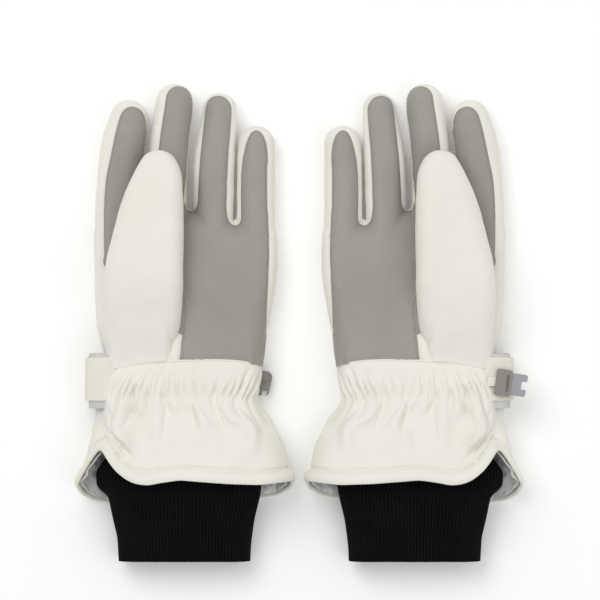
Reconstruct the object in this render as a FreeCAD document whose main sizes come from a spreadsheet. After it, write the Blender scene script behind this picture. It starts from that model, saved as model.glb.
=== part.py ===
"""A pair of five-finger snow gloves with gauntlets, lying on their backs with the palms up.

The glove is drawn once, in its own frame: +X across the hand towards the little finger,
+Y towards the fingertips, +Z out of the palm, z = 0 under the back of the hand. The left
glove is that drawing moved half the pair's spacing to -X, and the right glove is its mirror.
All lengths are in millimetres and all angles in degrees.
"""

import FreeCAD
import Part
import Sketcher
import os

doc = FreeCAD.newDocument("snow_gloves")
sheet = doc.addObject("Spreadsheet::Sheet", "sizes")

SIZES = {
    # the pair
    "pair_half_spacing": 75.5,
    "clearance": 0.3,
    "seam_gap": 0.3,
    # shell, lining and padding
    "shell_wall": 2.4,
    "liner_wall": 1.6,
    "padding_thick": 2.6,
    "seam_height": 16.0,
    "gusset_strip_low": 7.0,
    # the palm, from the wrist seam to the knuckles
    "palm_start": -27.0,
    "palm_mid": 2.0,
    "palm_wide": 40.0,
    "palm_end": 71.0,
    "palm_start_width": 104.0,
    "palm_mid_width": 115.0,
    "palm_width": 120.5,
    "palm_end_width": 118.0,
    "palm_height": 28.0,
    "palm_end_height": 26.0,
    "palm_corner": 11.5,
    # the fingers
    "finger_root": 45.0,
    "finger_height": 23.0,
    "root_low": 1.8,
    "root_high": 25.2,
    "shoulder_back": 10.0,
    "dome_back": 2.6,
    "straight_back": 27.0,
    "index_root_x": -43.2,
    "index_tip_x": -37.6,
    "index_width": 29.0,
    "index_tip": 147.7,
    "middle_root_x": -11.8,
    "middle_tip_x": -6.4,
    "middle_width": 28.0,
    "middle_tip": 158.1,
    "long_joint": 118.5,
    "ring_root_x": 18.4,
    "ring_tip_x": 22.8,
    "ring_width": 25.0,
    "ring_tip": 152.4,
    "ring_joint": 104.0,
    "little_root_x": 46.8,
    "little_tip_x": 47.2,
    "little_width": 25.0,
    "little_tip": 130.6,
    "little_joint": 90.0,
    # the thumb, folded over the palm
    "thumb_start": -21.0,
    "thumb_base": 4.0,
    "thumb_wide": 34.0,
    "thumb_mid": 72.0,
    "thumb_neck": 100.0,
    "thumb_tip": 113.3,
    "thumb_start_width": 26.0,
    "thumb_width": 51.0,
    "thumb_mid_width": 42.0,
    "thumb_neck_width": 30.0,
    "thumb_tip_width": 11.0,
    "thumb_base_x": -26.6,
    "thumb_mid_x": -21.4,
    "thumb_tip_x": -16.4,
    "thumb_height": 24.0,
    "thumb_seam_rise": 9.0,
    "thumb_port_y": 6.0,
    "thumb_port_radius": 15.0,
    "thumb_patch_radius": 29.5,
    "thumb_patch_thick": 1.0,
    # the gathered wrist
    "wrist_end": -49.5,
    "wrist_mid": -38.0,
    "wrist_width": 103.0,
    "wrist_height": 36.0,
    "wrist_start_height": 30.0,
    "wrist_x": -4.6,
    "wrist_wall": 3.0,
    "elastic_wide": 9.0,
    "elastic_thick": 1.2,
    # the gauntlet
    "flare_mid": -76.0,
    "flare_end": -107.0,
    "flare_past": -126.0,
    "flare_mid_width": 121.5,
    "flare_end_width": 142.5,
    "flare_mid_height": 42.0,
    "flare_end_height": 48.0,
    "flare_mid_x": 1.2,
    "flare_end_x": 0.2,
    "flare_lining": 1.2,
    "hem_wall": 3.4,
    "hem_depth": 8.0,
    "hem_front": -104.6,
    "hem_tilt": 16.5,
    # the knitted inner cuff
    "knit_start": -70.0,
    "knit_mid": -112.0,
    "knit_end": -158.0,
    "knit_start_width": 96.0,
    "knit_mid_width": 100.5,
    "knit_end_width": 87.0,
    "knit_height": 30.0,
    "knit_end_height": 27.0,
    "knit_end_low": 1.0,
    "knit_wall": 2.6,
    # the pull strap on the thumb side and the clips that hold the pair together
    "strap_wide": 28.6,
    "strap_start": -22.8,
    "strap_out": -66.4,
    "strap_arm_end": -51.4,
    "strap_low": 3.0,
    "strap_high": 33.2,
    "strap_thick": 1.6,
    "clip_long": 17.6,
    "clip_wide": 10.6,
    "clip_thick": 4.2,
    "clip_slot": 2.0,
    "hook_wide": 9.4,
    "hook_long": 16.4,
    "plate_long": 10.0,
    "tape_thick": 1.0,
    "hook_tape_wide": 6.0,
    "tape_wide": 9.0,
    "tape_long": 17.0,
}

for row, (alias, value) in enumerate(SIZES.items(), start=1):
    sheet.set(f"A{row}", alias.replace("_", " "))
    sheet.set(f"B{row}", str(value))
    sheet.setAlias(f"B{row}", alias)
doc.recompute()

PARTS = {}


def cells(text):
    """Turn a formula in plain cell names into one that names the sheet."""
    word, out = "", ""
    for letter in text + " ":
        if letter.isalnum() or letter == "_":
            word += letter
            continue
        out += f"sizes.{word}" if word in SIZES else word
        out += letter
        word = ""
    return out.strip()


def bind(thing, prop, text):
    """Tie one property of an object to a formula in cell names."""
    thing.setExpression(prop, cells(text))


def plane(body, role):
    """The origin plane of a body with the given role."""
    return next(f for f in body.Origin.OriginFeatures if f.Role == role)


def new_body(name):
    """An empty PartDesign body."""
    return doc.addObject("PartDesign::Body", name)


def rounded_sketch(body, name, role, wide, tall, corner):
    """A rounded rectangle about the sketch's own origin, with its three sizes bound."""
    sketch = body.newObject("Sketcher::SketchObject", name)
    sketch.AttachmentSupport = (plane(body, role), [""])
    sketch.MapMode = "FlatFace"
    w, t, r = 10.0, 8.0, 2.0
    corners = [(w - r, t - r), (r - w, t - r), (r - w, r - t), (w - r, r - t)]
    points = [
        ((w - r, t), (r - w, t)),
        ((-w, t - r), (-w, r - t)),
        ((r - w, -t), (w - r, -t)),
        ((w, r - t), (w, t - r)),
    ]
    for start, end in points:
        sketch.addGeometry(
            Part.LineSegment(FreeCAD.Vector(*start, 0), FreeCAD.Vector(*end, 0))
        )
    quarter = 1.5707963267948966
    for turn, centre in enumerate(corners):
        circle = Part.Circle(FreeCAD.Vector(*centre, 0), FreeCAD.Vector(0, 0, 1), r)
        sketch.addGeometry(Part.ArcOfCircle(circle, turn * quarter, (turn + 1) * quarter))
    rule = rules_of(sketch)
    for line in (0, 2):
        rule("Horizontal", line)
    for line in (1, 3):
        rule("Vertical", line)
    for turn in range(4):
        rule("Tangent", 4 + turn, 2, turn, 1)
        rule("Tangent", (turn + 3) % 4, 2, 4 + turn, 1)
    for turn in (5, 6, 7):
        rule("Equal", 4, turn)
    rule("Symmetric", 0, 1, 2, 1, -1, 1)
    for kind, label, first, second, text in (
        ("DistanceX", "wide", (1, 1), (3, 1), wide),
        ("DistanceY", "tall", (2, 1), (0, 1), tall),
    ):
        rule(kind, *first, *second, 2 * (w if kind == "DistanceX" else t))
        sketch.renameConstraint(sketch.ConstraintCount - 1, label)
        bind(sketch, f"Constraints.{label}", text)
    rule("Radius", 4, r)
    sketch.renameConstraint(sketch.ConstraintCount - 1, "corner")
    bind(sketch, "Constraints.corner", corner)
    return sketch


def rules_of(sketch):
    """A short way to add constraints to one sketch."""

    def rule(kind, *values):
        return sketch.addConstraint(Sketcher.Constraint(kind, *values))

    return rule


def station(body, name, y, x, wide, low, high, corner=None):
    """A rounded section across the hand at y, from low to high and centred on x."""
    corner = corner or f"min({wide}; ({high}) - ({low})) * 0.42"
    sketch = rounded_sketch(body, name, "XZ_Plane", wide, f"({high}) - ({low})", corner)
    bind(sketch, "AttachmentOffset.Base.x", x)
    bind(sketch, "AttachmentOffset.Base.y", f"(({low}) + ({high})) / 2")
    bind(sketch, "AttachmentOffset.Base.z", f"-({y})")
    return sketch


def loft(body, name, stations, hollow=False):
    """A ruled loft through stations, added to the body or cut out of it."""
    kind = "SubtractiveLoft" if hollow else "AdditiveLoft"
    sketches = [
        station(body, f"{name}_{number}", *values)
        for number, values in enumerate(stations)
    ]
    feature = body.newObject(f"PartDesign::{kind}", name)
    feature.Profile = sketches[0]
    feature.Sections = sketches[1:]
    feature.Ruled = True
    body.Tip = feature
    return feature


def loft_body(name, outer, inner=None):
    """A body lofted through the outer stations and hollowed through the inner ones."""
    body = new_body(name)
    loft(body, f"{name}_skin", outer)
    if inner:
        loft(body, f"{name}_hollow", inner, hollow=True)
    return body


def box(name, x, y, z, long, wide, tall):
    """A Part::Box between bound corners, used to part the panels from each other."""
    block = doc.addObject("Part::Box", name)
    for prop, text in (("Length", long), ("Width", wide), ("Height", tall)):
        bind(block, prop, text)
    for axis, text in (("x", x), ("y", y), ("z", z)):
        bind(block, f"Placement.Base.{axis}", text)
    return block


def cylinder(name, x, y, z, radius, tall):
    """A vertical Part::Cylinder with its sizes bound."""
    drum = doc.addObject("Part::Cylinder", name)
    bind(drum, "Radius", radius)
    bind(drum, "Height", tall)
    for axis, text in (("x", x), ("y", y), ("z", z)):
        bind(drum, f"Placement.Base.{axis}", text)
    return drum


def cut(name, base, tool):
    """One object less another."""
    result = doc.addObject("Part::Cut", name)
    result.Base, result.Tool = base, tool
    return result


def common(name, base, tool):
    """What two objects share."""
    result = doc.addObject("Part::Common", name)
    result.Base, result.Tool = base, tool
    return result


def fuse(name, shapes):
    """Several objects as one."""
    result = doc.addObject("Part::MultiFuse", name)
    result.Shapes = shapes
    return result


def both_hands(name, piece):
    """Place the drawn piece as the left glove's and mirror it as the right glove's."""
    left(name, piece)
    twin = doc.addObject("Part::Mirroring", f"right_{name}")
    twin.Label = f"right_{name}"
    twin.Source = PARTS[f"left_{name}"]
    twin.Normal = FreeCAD.Vector(1, 0, 0)
    PARTS[twin.Label] = twin


def left(name, piece):
    """Place the drawn piece as the left glove's."""
    piece.Label = f"left_{name}"
    bind(piece, "Placement.Base.x", "-pair_half_spacing")
    PARTS[piece.Label] = piece


# ---------------------------------------------------------------- the hand

FINGERS = ("index", "middle", "ring", "little")
JOINTS = {
    "index": "long_joint",
    "middle": "long_joint",
    "ring": "ring_joint",
    "little": "little_joint",
}
FAR = "400"


def between(first, second, end):
    """Half way across the gap between two fingers, at their root or at their tip."""
    return (
        f"({first}_{end}_x + {first}_width / 2 + {second}_{end}_x - {second}_width / 2) / 2"
    )


def palm_stations(inset, lift="0", start="palm_start"):
    """Sections of the palm, drawn in by inset, with the back side raised by lift."""
    low = f"({inset} + {lift})"
    bend = "0.44" if lift == "0" else "0.485"
    ends = (
        (start, "palm_start_width", "palm_height", "0"),
        ("palm_mid", "palm_mid_width", "palm_height", "0"),
        ("palm_wide", "palm_width", "palm_height", "0"),
        (f"palm_end - ({inset})", "palm_end_width", "palm_end_height", "1"),
    )
    return [
        (
            y,
            "0.4",
            f"{wide} - 2 * ({inset})",
            f"{bottom} + {low}",
            f"{high} - ({inset})",
            f"min(palm_corner - ({inset}); ({high} - ({inset}) - {bottom} - {low}) * {bend})",
        )
        for y, wide, high, bottom in ends
    ]


def finger_stations(name, inset, lift="0", closed=True):
    """Sections of one finger from inside the palm to its domed tip or its joint."""
    root_x, tip_x = f"{name}_root_x", f"{name}_tip_x"
    wide = f"({name}_width - 2 * ({inset}))"
    tip = f"({name}_tip - ({inset}))"
    low, high = f"({inset} + {lift})", f"(finger_height - ({inset}))"
    stations = [
        (
            "finger_root",
            root_x,
            f"{wide} - 2",
            f"root_low + {low}",
            f"root_high - ({inset})",
        ),
        (
            "palm_end + 4",
            f"{root_x} + 0.6",
            f"{wide} - 0.6",
            f"0.8 + {low}",
            f"root_high - 1.2 - ({inset})",
        ),
        (f"{tip} - straight_back", f"({root_x} + 3 * {tip_x}) / 4", wide, low, high),
    ]
    if not closed:
        stations.append((f"{tip} - straight_back + 8", *stations[-1][1:]))
    if lift != "0":
        stations = [
            (y, x, across, bottom, top, f"min({across}; {top} - ({bottom})) * 0.48")
            for y, x, across, bottom, top in stations
        ]
    if closed:
        stations += [
            (
                f"{tip} - shoulder_back",
                tip_x,
                f"{wide} * 0.84",
                f"{low} + 0.7",
                f"{high} - 1.2",
            ),
            (
                f"{tip} - dome_back",
                tip_x,
                f"{wide} * 0.52",
                f"{low} + 3.8",
                f"{high} - 4.6",
            ),
            (f"{tip}", tip_x, f"{wide} * 0.22", f"{low} + 6.4", f"{high} - 7.4"),
        ]
    return stations


def hand_form(name, inset, lift="0", start="palm_start", closed=True):
    """Palm and fingers as one smooth form, drawn in by inset."""
    shapes = [loft_body(f"{name}_palm", palm_stations(inset, lift, start))]
    shapes += [
        loft_body(f"{name}_{finger}", finger_stations(finger, inset, lift, closed))
        for finger in FINGERS
    ]
    return fuse(name, shapes)


hand_outer = hand_form("hand_outer", "0")
hand_inner = hand_form("hand_inner", "shell_wall", start="palm_start - 3")
hand_shell = cut("hand_shell", hand_outer, hand_inner)

# everything on the palm side of the joints of the four fingertips
tip_blocks = []
base_blocks = []
EDGES = ["-200"]
EDGES += [
    f"({between(*pair, 'root')} + {between(*pair, 'tip')}) / 2"
    for pair in zip(FINGERS, FINGERS[1:])
]
EDGES += ["200"]
for finger, start, end in zip(FINGERS, EDGES, EDGES[1:]):
    base_blocks.append(
        box(
            f"{finger}_base_room",
            start,
            "-200",
            "-20",
            f"({end}) - ({start})",
            f"200 + {JOINTS[finger]}",
            "100",
        )
    )
base_room = fuse("base_room", base_blocks)
base_shell = common("base_shell", hand_shell, base_room)

above_seam = box("above_seam", "-200", "-200", "seam_height", FAR, FAR, "60")
face_shell = common("face_shell", base_shell, above_seam)
back_shell = cut("back_shell", base_shell, above_seam)

thumb_port = cylinder(
    "thumb_port",
    "thumb_base_x",
    "thumb_port_y",
    "seam_height + 1",
    "thumb_port_radius",
    "palm_height + 2 * clearance + thumb_patch_thick + thumb_seam_rise - seam_height - 1",
)
face_ported = cut("face_ported", face_shell, thumb_port)
finger_half = box("finger_half", "-200", "palm_end - 30", "-20", FAR, "300", "100")
beside_index = box(
    "beside_index", between("index", "middle", "root"), "palm_end - 60", "-20", FAR, "300", "100"
)
beside_index.Placement.Rotation = FreeCAD.Rotation(FreeCAD.Vector(0, 0, 1), -5)
bind(
    beside_index,
    "Placement.Rotation.Angle",
    "-atan((index_tip_x - index_root_x) / (index_tip - palm_end))",
)
index_room = cut("index_room", finger_half, beside_index)
index_face = common("index_face", face_ported, index_room)
palm_panel = cut("palm_panel", face_ported, index_room)

strip_rooms = []
for first, second in zip(FINGERS, FINGERS[1:]):
    strip_rooms.append(
        box(
            f"{first}_{second}_room",
            f"{first}_tip_x",
            "palm_end - 12",
            "gusset_strip_low",
            f"{second}_root_x - {first}_tip_x",
            "200",
            "40",
        )
    )
strip_room = fuse("strip_room", strip_rooms)
back_panel = cut("back_panel", back_shell, strip_room)

both_hands("back_panel", back_panel)
both_hands("palm_panel", palm_panel)
both_hands("index_face", index_face)
for (first, second), room in zip(zip(FINGERS, FINGERS[1:]), strip_rooms):
    both_hands(f"fourchette_{first}_{second}", common(f"strip_{first}", back_shell, room))

# the fleece lining of the hand, open at the wrist, the thumb and the four joints
LINER_INSET = "shell_wall + clearance"
LINER_LIFT = "padding_thick + clearance"
liner_outer = hand_form(
    "liner_outer", LINER_INSET, LINER_LIFT, start="palm_start + 1", closed=False
)
liner_inner = hand_form(
    "liner_inner",
    f"{LINER_INSET} + liner_wall",
    LINER_LIFT,
    start="palm_start - 3",
    closed=False,
)
liner_shell = cut("liner_shell", liner_outer, liner_inner)
liner_room = fuse(
    "liner_room",
    [
        box(
            f"{finger}_liner_room",
            start,
            "-200",
            "-20",
            f"({end}) - ({start})",
            f"199 + {JOINTS[finger]}",
            "100",
        )
        for finger, start, end in zip(FINGERS, EDGES, EDGES[1:])
    ],
)
liner_trimmed = common("liner_trimmed", liner_shell, liner_room)
both_hands("hand_liner", cut("hand_liner", liner_trimmed, thumb_port))

# the padding on the back of the hand, between shell and lining
padding = new_body("padding")
padding_sketch = rounded_sketch(
    padding,
    "padding_outline",
    "XY_Plane",
    "palm_start_width - 24",
    "palm_wide - palm_start - 9",
    "12",
)
bind(padding_sketch, "AttachmentOffset.Base.x", "0.4")
bind(padding_sketch, "AttachmentOffset.Base.y", "(palm_wide + palm_start) / 2")
bind(padding_sketch, "AttachmentOffset.Base.z", "shell_wall + clearance")
padding_pad = padding.newObject("PartDesign::Pad", "padding_pad")
padding_pad.Profile = padding_sketch
bind(padding_pad, "Length", "padding_thick - clearance")
both_hands("insulation_pad", padding)

# the four fingertips, each a back cap and a face cap past its joint
for finger, start, end in zip(FINGERS, EDGES, EDGES[1:]):
    shell = loft_body(
        f"{finger}_cap",
        finger_stations(finger, "0"),
        finger_stations(finger, "shell_wall"),
    )
    room = box(
        f"{finger}_tip_room",
        "-200",
        f"{JOINTS[finger]} + seam_gap",
        "-20",
        FAR,
        "200",
        "100",
    )
    cap = common(f"{finger}_tip", shell, room)
    both_hands(f"{finger}_tip_back", cut(f"{finger}_tip_back", cap, above_seam))
    both_hands(f"{finger}_tip_face", common(f"{finger}_tip_face", cap, above_seam))

# ---------------------------------------------------------------- the thumb


def thumb_stations(inset):
    """Sections of the thumb, from its heel over the wrist seam to its tip."""
    floor = f"palm_height + 2 * clearance + thumb_patch_thick + clearance + ({inset})"
    roof = f"palm_height + 2 * clearance + thumb_patch_thick + thumb_height - ({inset})"
    return [
        (
            f"thumb_start + ({inset})",
            "thumb_base_x",
            f"thumb_start_width - 2 * ({inset})",
            floor,
            f"{roof} - 15",
        ),
        (
            "thumb_base",
            "thumb_base_x",
            f"thumb_width - 2 * ({inset})",
            floor,
            f"{roof} - 3",
        ),
        (
            "thumb_wide",
            "thumb_base_x + 0.6",
            f"thumb_width - 2 * ({inset})",
            floor,
            roof,
        ),
        ("thumb_mid", "thumb_mid_x", f"thumb_mid_width - 2 * ({inset})", floor, roof),
        (
            "thumb_neck",
            "thumb_tip_x",
            f"thumb_neck_width - 2 * ({inset})",
            f"{floor} + 1",
            f"{roof} - 2",
        ),
        (
            f"thumb_tip - ({inset})",
            "thumb_tip_x",
            f"thumb_tip_width - ({inset})",
            f"{floor} + 6",
            f"{roof} - 7",
        ),
    ]


thumb_tube = loft_body("thumb_tube", thumb_stations("0"), thumb_stations("shell_wall"))
thumb_seam = box(
    "thumb_seam",
    "-200",
    "-200",
    "palm_height + 2 * clearance + thumb_patch_thick + thumb_seam_rise",
    FAR,
    FAR,
    "60",
)
both_hands("thumb_shell", common("thumb_shell", thumb_tube, thumb_seam))
thumb_low = cut("thumb_low", thumb_tube, thumb_seam)
both_hands("thumb_face", cut("thumb_face", thumb_low, thumb_port))
thumb_liner_tube = loft_body(
    "thumb_liner_tube",
    thumb_stations("shell_wall + clearance"),
    thumb_stations("shell_wall + clearance + liner_wall"),
)
both_hands("thumb_liner", cut("thumb_liner", thumb_liner_tube, thumb_port))

# the round patch that the thumb is set on, open at the thumb's port
patch_disc = cylinder(
    "patch_disc",
    "thumb_base_x",
    "thumb_port_y",
    "palm_height + clearance",
    "thumb_patch_radius",
    "thumb_patch_thick",
)
both_hands("thumb_gusset", cut("thumb_gusset", patch_disc, thumb_port))

# ---------------------------------------------------------------- the wrist


def wrist_stations(inset, past):
    """Sections of the gathered band between palm and gauntlet."""
    return [
        (
            f"palm_start - clearance + ({past})",
            "-0.4",
            f"palm_start_width - 2 * ({inset})",
            f"{inset}",
            f"wrist_start_height - ({inset})",
        ),
        (
            "wrist_mid",
            "wrist_x + 1",
            f"wrist_width - 0.4 - 2 * ({inset})",
            f"{inset}",
            f"wrist_height - 2 - ({inset})",
        ),
        (
            f"wrist_end - ({past})",
            "wrist_x",
            f"wrist_width - 2 * ({inset})",
            f"{inset}",
            f"wrist_height - ({inset})",
        ),
    ]


both_hands(
    "wrist_band",
    loft_body(
        "wrist_band", wrist_stations("0", "0"), wrist_stations("wrist_wall", "1")
    ),
)
elastic_tube = loft_body(
    "elastic_tube",
    wrist_stations("wrist_wall + clearance", "0"),
    wrist_stations("wrist_wall + clearance + elastic_thick", "1"),
)
elastic_room = box(
    "elastic_room", "-200", "wrist_mid - elastic_wide / 2", "-20", FAR, "elastic_wide", "100"
)
both_hands("wrist_elastic", common("wrist_elastic", elastic_tube, elastic_room))

# ---------------------------------------------------------------- the gauntlet


def flare_stations(inset, past, start="wrist_end - clearance"):
    """Sections of the gauntlet from the wrist to past its slanting hem."""
    return [
        (
            f"{start} + ({past})",
            "wrist_x",
            f"wrist_width - 2 * ({inset})",
            f"{inset}",
            f"wrist_height - ({inset})",
        ),
        (
            "flare_mid",
            "flare_mid_x",
            f"flare_mid_width - 2 * ({inset})",
            f"{inset}",
            f"flare_mid_height - ({inset})",
        ),
        (
            "flare_end",
            "flare_end_x",
            f"flare_end_width - 2 * ({inset})",
            f"{inset}",
            f"flare_end_height - ({inset})",
        ),
        (
            f"flare_past - ({past})",
            "flare_end_x",
            f"flare_end_width - 2 * ({inset})",
            f"{inset}",
            f"flare_end_height - ({inset})",
        ),
    ]


def hem_side(name, shift):
    """The room on the wrist side of the slanting hem line, moved up by shift."""
    room = doc.addObject("Part::Box", name)
    room.Length, room.Width, room.Height = 400, 400, 400
    room.Placement.Base.x = -200
    room.Placement.Rotation.Axis = FreeCAD.Vector(1, 0, 0)
    bind(room, "Placement.Rotation.Angle", "-hem_tilt")
    drop = "(flare_end_height + 60)"
    bind(room, "Placement.Base.y", f"hem_front + ({shift}) - tan(hem_tilt) * {drop}")
    bind(room, "Placement.Base.z", "-60")
    return room


shell_room = hem_side("shell_room", "hem_depth + clearance")
hem_room = hem_side("hem_room", "hem_depth")
past_room = hem_side("past_room", "0")
lining_room = hem_side("lining_room", "1.5")

flare_tube = loft_body(
    "flare_tube", flare_stations("0", "0"), flare_stations("shell_wall", "1")
)
both_hands("gauntlet_shell", common("gauntlet_shell", flare_tube, shell_room))
hem_tube = loft_body(
    "hem_tube", flare_stations("0", "0"), flare_stations("hem_wall", "1")
)
hem_end = common("hem_end", hem_tube, past_room)
both_hands("hem_roll", cut("hem_roll", hem_end, hem_room))
LINING = "hem_wall + clearance"
lining_tube = loft_body(
    "lining_tube",
    flare_stations(LINING, "0"),
    flare_stations(f"{LINING} + flare_lining", "1"),
)
both_hands("gauntlet_lining", common("gauntlet_lining", lining_tube, lining_room))

# ---------------------------------------------------------------- the knitted cuff


def knit_stations(inset, past):
    """Sections of the knitted cuff, which lies on the gauntlet's lining."""
    floor = "hem_wall + flare_lining + 2 * clearance"
    return [
        (
            f"knit_start + ({past})",
            "0",
            f"knit_start_width - 2 * ({inset})",
            f"{floor} + ({inset})",
            f"{floor} + knit_height - ({inset})",
        ),
        (
            "knit_mid",
            "0",
            f"knit_mid_width - 2 * ({inset})",
            f"{floor} + ({inset})",
            f"{floor} + knit_height - ({inset})",
        ),
        (
            f"knit_end - ({past})",
            "0",
            f"knit_end_width - 2 * ({inset})",
            f"knit_end_low + ({inset})",
            f"knit_end_low + knit_end_height - ({inset})",
        ),
    ]


both_hands(
    "knit_cuff", loft_body("knit_cuff", knit_stations("0", "0"), knit_stations("knit_wall", "1"))
)

# ---------------------------------------------------------------- strap and clips

strap = new_body("strap")
strap_sketch = rounded_sketch(
    strap, "strap_outline", "XZ_Plane", "2 * (strap_arm_end - strap_out)", "strap_high - strap_low", "6"
)
bind(strap_sketch, "AttachmentOffset.Base.x", "strap_arm_end")
bind(strap_sketch, "AttachmentOffset.Base.y", "(strap_low + strap_high) / 2")
bind(strap_sketch, "AttachmentOffset.Base.z", "-strap_start")
strap_pad = strap.newObject("PartDesign::Pad", "strap_pad")
strap_pad.Profile = strap_sketch
bind(strap_pad, "Length", "strap_wide")
strap_inside = rounded_sketch(
    strap,
    "strap_inside",
    "XZ_Plane",
    "2 * (strap_arm_end - strap_out - strap_thick)",
    "strap_high - strap_low - 2 * strap_thick",
    "6 - strap_thick",
)
bind(strap_inside, "AttachmentOffset.Base.x", "strap_arm_end")
bind(strap_inside, "AttachmentOffset.Base.y", "(strap_low + strap_high) / 2")
bind(strap_inside, "AttachmentOffset.Base.z", "-strap_start")
strap_hollow = strap.newObject("PartDesign::Pocket", "strap_hollow")
strap_hollow.Profile = strap_inside
strap_hollow.Midplane = True
bind(strap_hollow, "Length", "3 * strap_wide")
strap.Tip = strap_hollow
strap_side = box(
    "strap_side", "-200", "-200", "-20", "200 + strap_arm_end", "400", "100"
)
both_hands("strap_loop", common("strap_loop", strap, strap_side))


def plate(name, wide, long, thick, corner, x, y, z):
    """A flat rounded plate lying at z, centred on x and y."""
    body = new_body(name)
    sketch = rounded_sketch(body, f"{name}_outline", "XY_Plane", wide, long, corner)
    bind(sketch, "AttachmentOffset.Base.x", x)
    bind(sketch, "AttachmentOffset.Base.y", y)
    bind(sketch, "AttachmentOffset.Base.z", z)
    pad = body.newObject("PartDesign::Pad", f"{name}_pad")
    pad.Profile = sketch
    bind(pad, "Length", thick)
    body.Tip = pad
    return body


def slot(body, name, wide, long, corner, x, y):
    """A through slot in a flat plate."""
    sketch = rounded_sketch(body, f"{name}_outline", "XY_Plane", wide, long, corner)
    bind(sketch, "AttachmentOffset.Base.x", x)
    bind(sketch, "AttachmentOffset.Base.y", y)
    pocket = body.newObject("PartDesign::Pocket", name)
    pocket.Profile = sketch
    pocket.Midplane = True
    bind(pocket, "Length", "200")
    body.Tip = pocket


def place_part(name, piece, x, y, z, angle):
    """Stand one finished piece in the pair, turned about +Z."""
    piece.Label = name
    piece.Placement = FreeCAD.Placement(
        FreeCAD.Vector(0, 0, 0), FreeCAD.Rotation(FreeCAD.Vector(0, 0, 1), angle)
    )
    for axis, text in (("x", x), ("y", y), ("z", z)):
        bind(piece, f"Placement.Base.{axis}", text)
    PARTS[name] = piece


# the left glove's hook, behind the wrist on the little-finger side
hook = plate("hook", "hook_wide", "hook_long", "clip_thick", "3.6", "0", "0", "0")
slot(hook, "hook_eye", "hook_wide - 5", "clip_slot", "0.6", "0", "hook_long / 2 - 3.2")
slot(hook, "hook_notch", "clip_slot + 1", "4.4", "0.8", "1.6", "-hook_long / 2 + 1.6")
place_part(
    "left_clip_hook", hook, "-pair_half_spacing + 51.8", "-40.6", "3.4", -12.0
)
hook_tape = plate(
    "hook_tape", "hook_tape_wide", "hook_tape_wide", "tape_thick", "0.8", "0", "0", "0"
)
place_part(
    "left_clip_tape",
    hook_tape,
    "-pair_half_spacing + 53.2",
    "-35.6",
    "3.4 + clip_thick + clearance",
    -12.0,
)

# the right glove's clip, lying on the strap: a slotted body and the plate pushed into it
clip_body = plate("clip_body", "clip_wide", "clip_long", "clip_thick", "1.6", "0", "0", "0")
slot(
    clip_body, "clip_slot_cut", "clip_slot", "clip_long - 6", "0.8", "clip_wide / 2 - 2.6", "0"
)
CLIP_X = "pair_half_spacing + 58.2"
CLIP_Y = "-39.4"
CLIP_Z = "strap_high + clearance"
place_part("right_clip_body", clip_body, CLIP_X, CLIP_Y, CLIP_Z, -9.0)
clip_plate = plate(
    "clip_plate",
    "plate_long",
    "clip_long - 3",
    "clip_thick - 1.2",
    "1.4",
    "clip_wide / 2 + plate_long / 2",
    "0",
    "0.6",
)
slot(
    clip_plate,
    "plate_notch",
    "4.6",
    "5.2",
    "0.8",
    "clip_wide / 2 + plate_long - 1.2",
    "0",
)
place_part("right_clip_plate", clip_plate, CLIP_X, CLIP_Y, CLIP_Z, -9.0)
clip_tape = plate("clip_tape", "tape_long", "tape_wide", "tape_thick", "0.8", "0", "0", "0")
place_part(
    "right_clip_tape",
    clip_tape,
    "pair_half_spacing + 47.6",
    "-37.6",
    f"{CLIP_Z} + clip_thick + clearance",
    -9.0,
)

# ---------------------------------------------------------------- check and write

doc.recompute()

troubles = [
    f"{thing.Name}: {thing.State}"
    for thing in doc.Objects
    if "Invalid" in thing.State or "Error" in thing.State
]
for label, piece in PARTS.items():
    shape = piece.Shape
    if shape.isNull() or not shape.isValid() or not shape.Solids:
        troubles.append(f"{label}: no valid solid")
    elif len(shape.Solids) != 1:
        troubles.append(f"{label}: {len(shape.Solids)} solids")
if troubles:
    raise RuntimeError("; ".join(troubles))

os.makedirs("parts", exist_ok=True)
for label, piece in PARTS.items():
    piece.Shape.exportStep(f"parts/{label}.step")
print(f"{len(PARTS)} parts written")
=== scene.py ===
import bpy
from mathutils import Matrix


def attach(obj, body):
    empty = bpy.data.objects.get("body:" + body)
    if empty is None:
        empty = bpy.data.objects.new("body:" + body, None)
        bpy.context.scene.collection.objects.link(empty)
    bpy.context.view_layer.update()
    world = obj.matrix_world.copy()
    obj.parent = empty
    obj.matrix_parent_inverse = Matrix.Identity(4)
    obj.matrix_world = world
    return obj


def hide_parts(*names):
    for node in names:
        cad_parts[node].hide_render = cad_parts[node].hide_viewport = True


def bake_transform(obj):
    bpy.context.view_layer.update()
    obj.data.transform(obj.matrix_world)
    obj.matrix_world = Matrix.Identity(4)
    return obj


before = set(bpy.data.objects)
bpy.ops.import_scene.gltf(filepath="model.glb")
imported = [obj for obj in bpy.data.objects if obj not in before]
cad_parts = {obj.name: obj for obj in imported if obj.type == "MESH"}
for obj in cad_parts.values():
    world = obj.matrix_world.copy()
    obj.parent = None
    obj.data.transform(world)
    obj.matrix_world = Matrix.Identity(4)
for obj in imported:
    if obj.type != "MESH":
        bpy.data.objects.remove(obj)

"""The looks of a pair of five-finger snow gloves lying on their backs.

Shapes are drawn in millimetres for the left glove and mirrored for the right one.
"""
import logging
from dataclasses import dataclass, field
from enum import Enum
from functools import partial
from typing import Callable, Sequence

import bpy
import numpy as np
from mathutils import Vector

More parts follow.
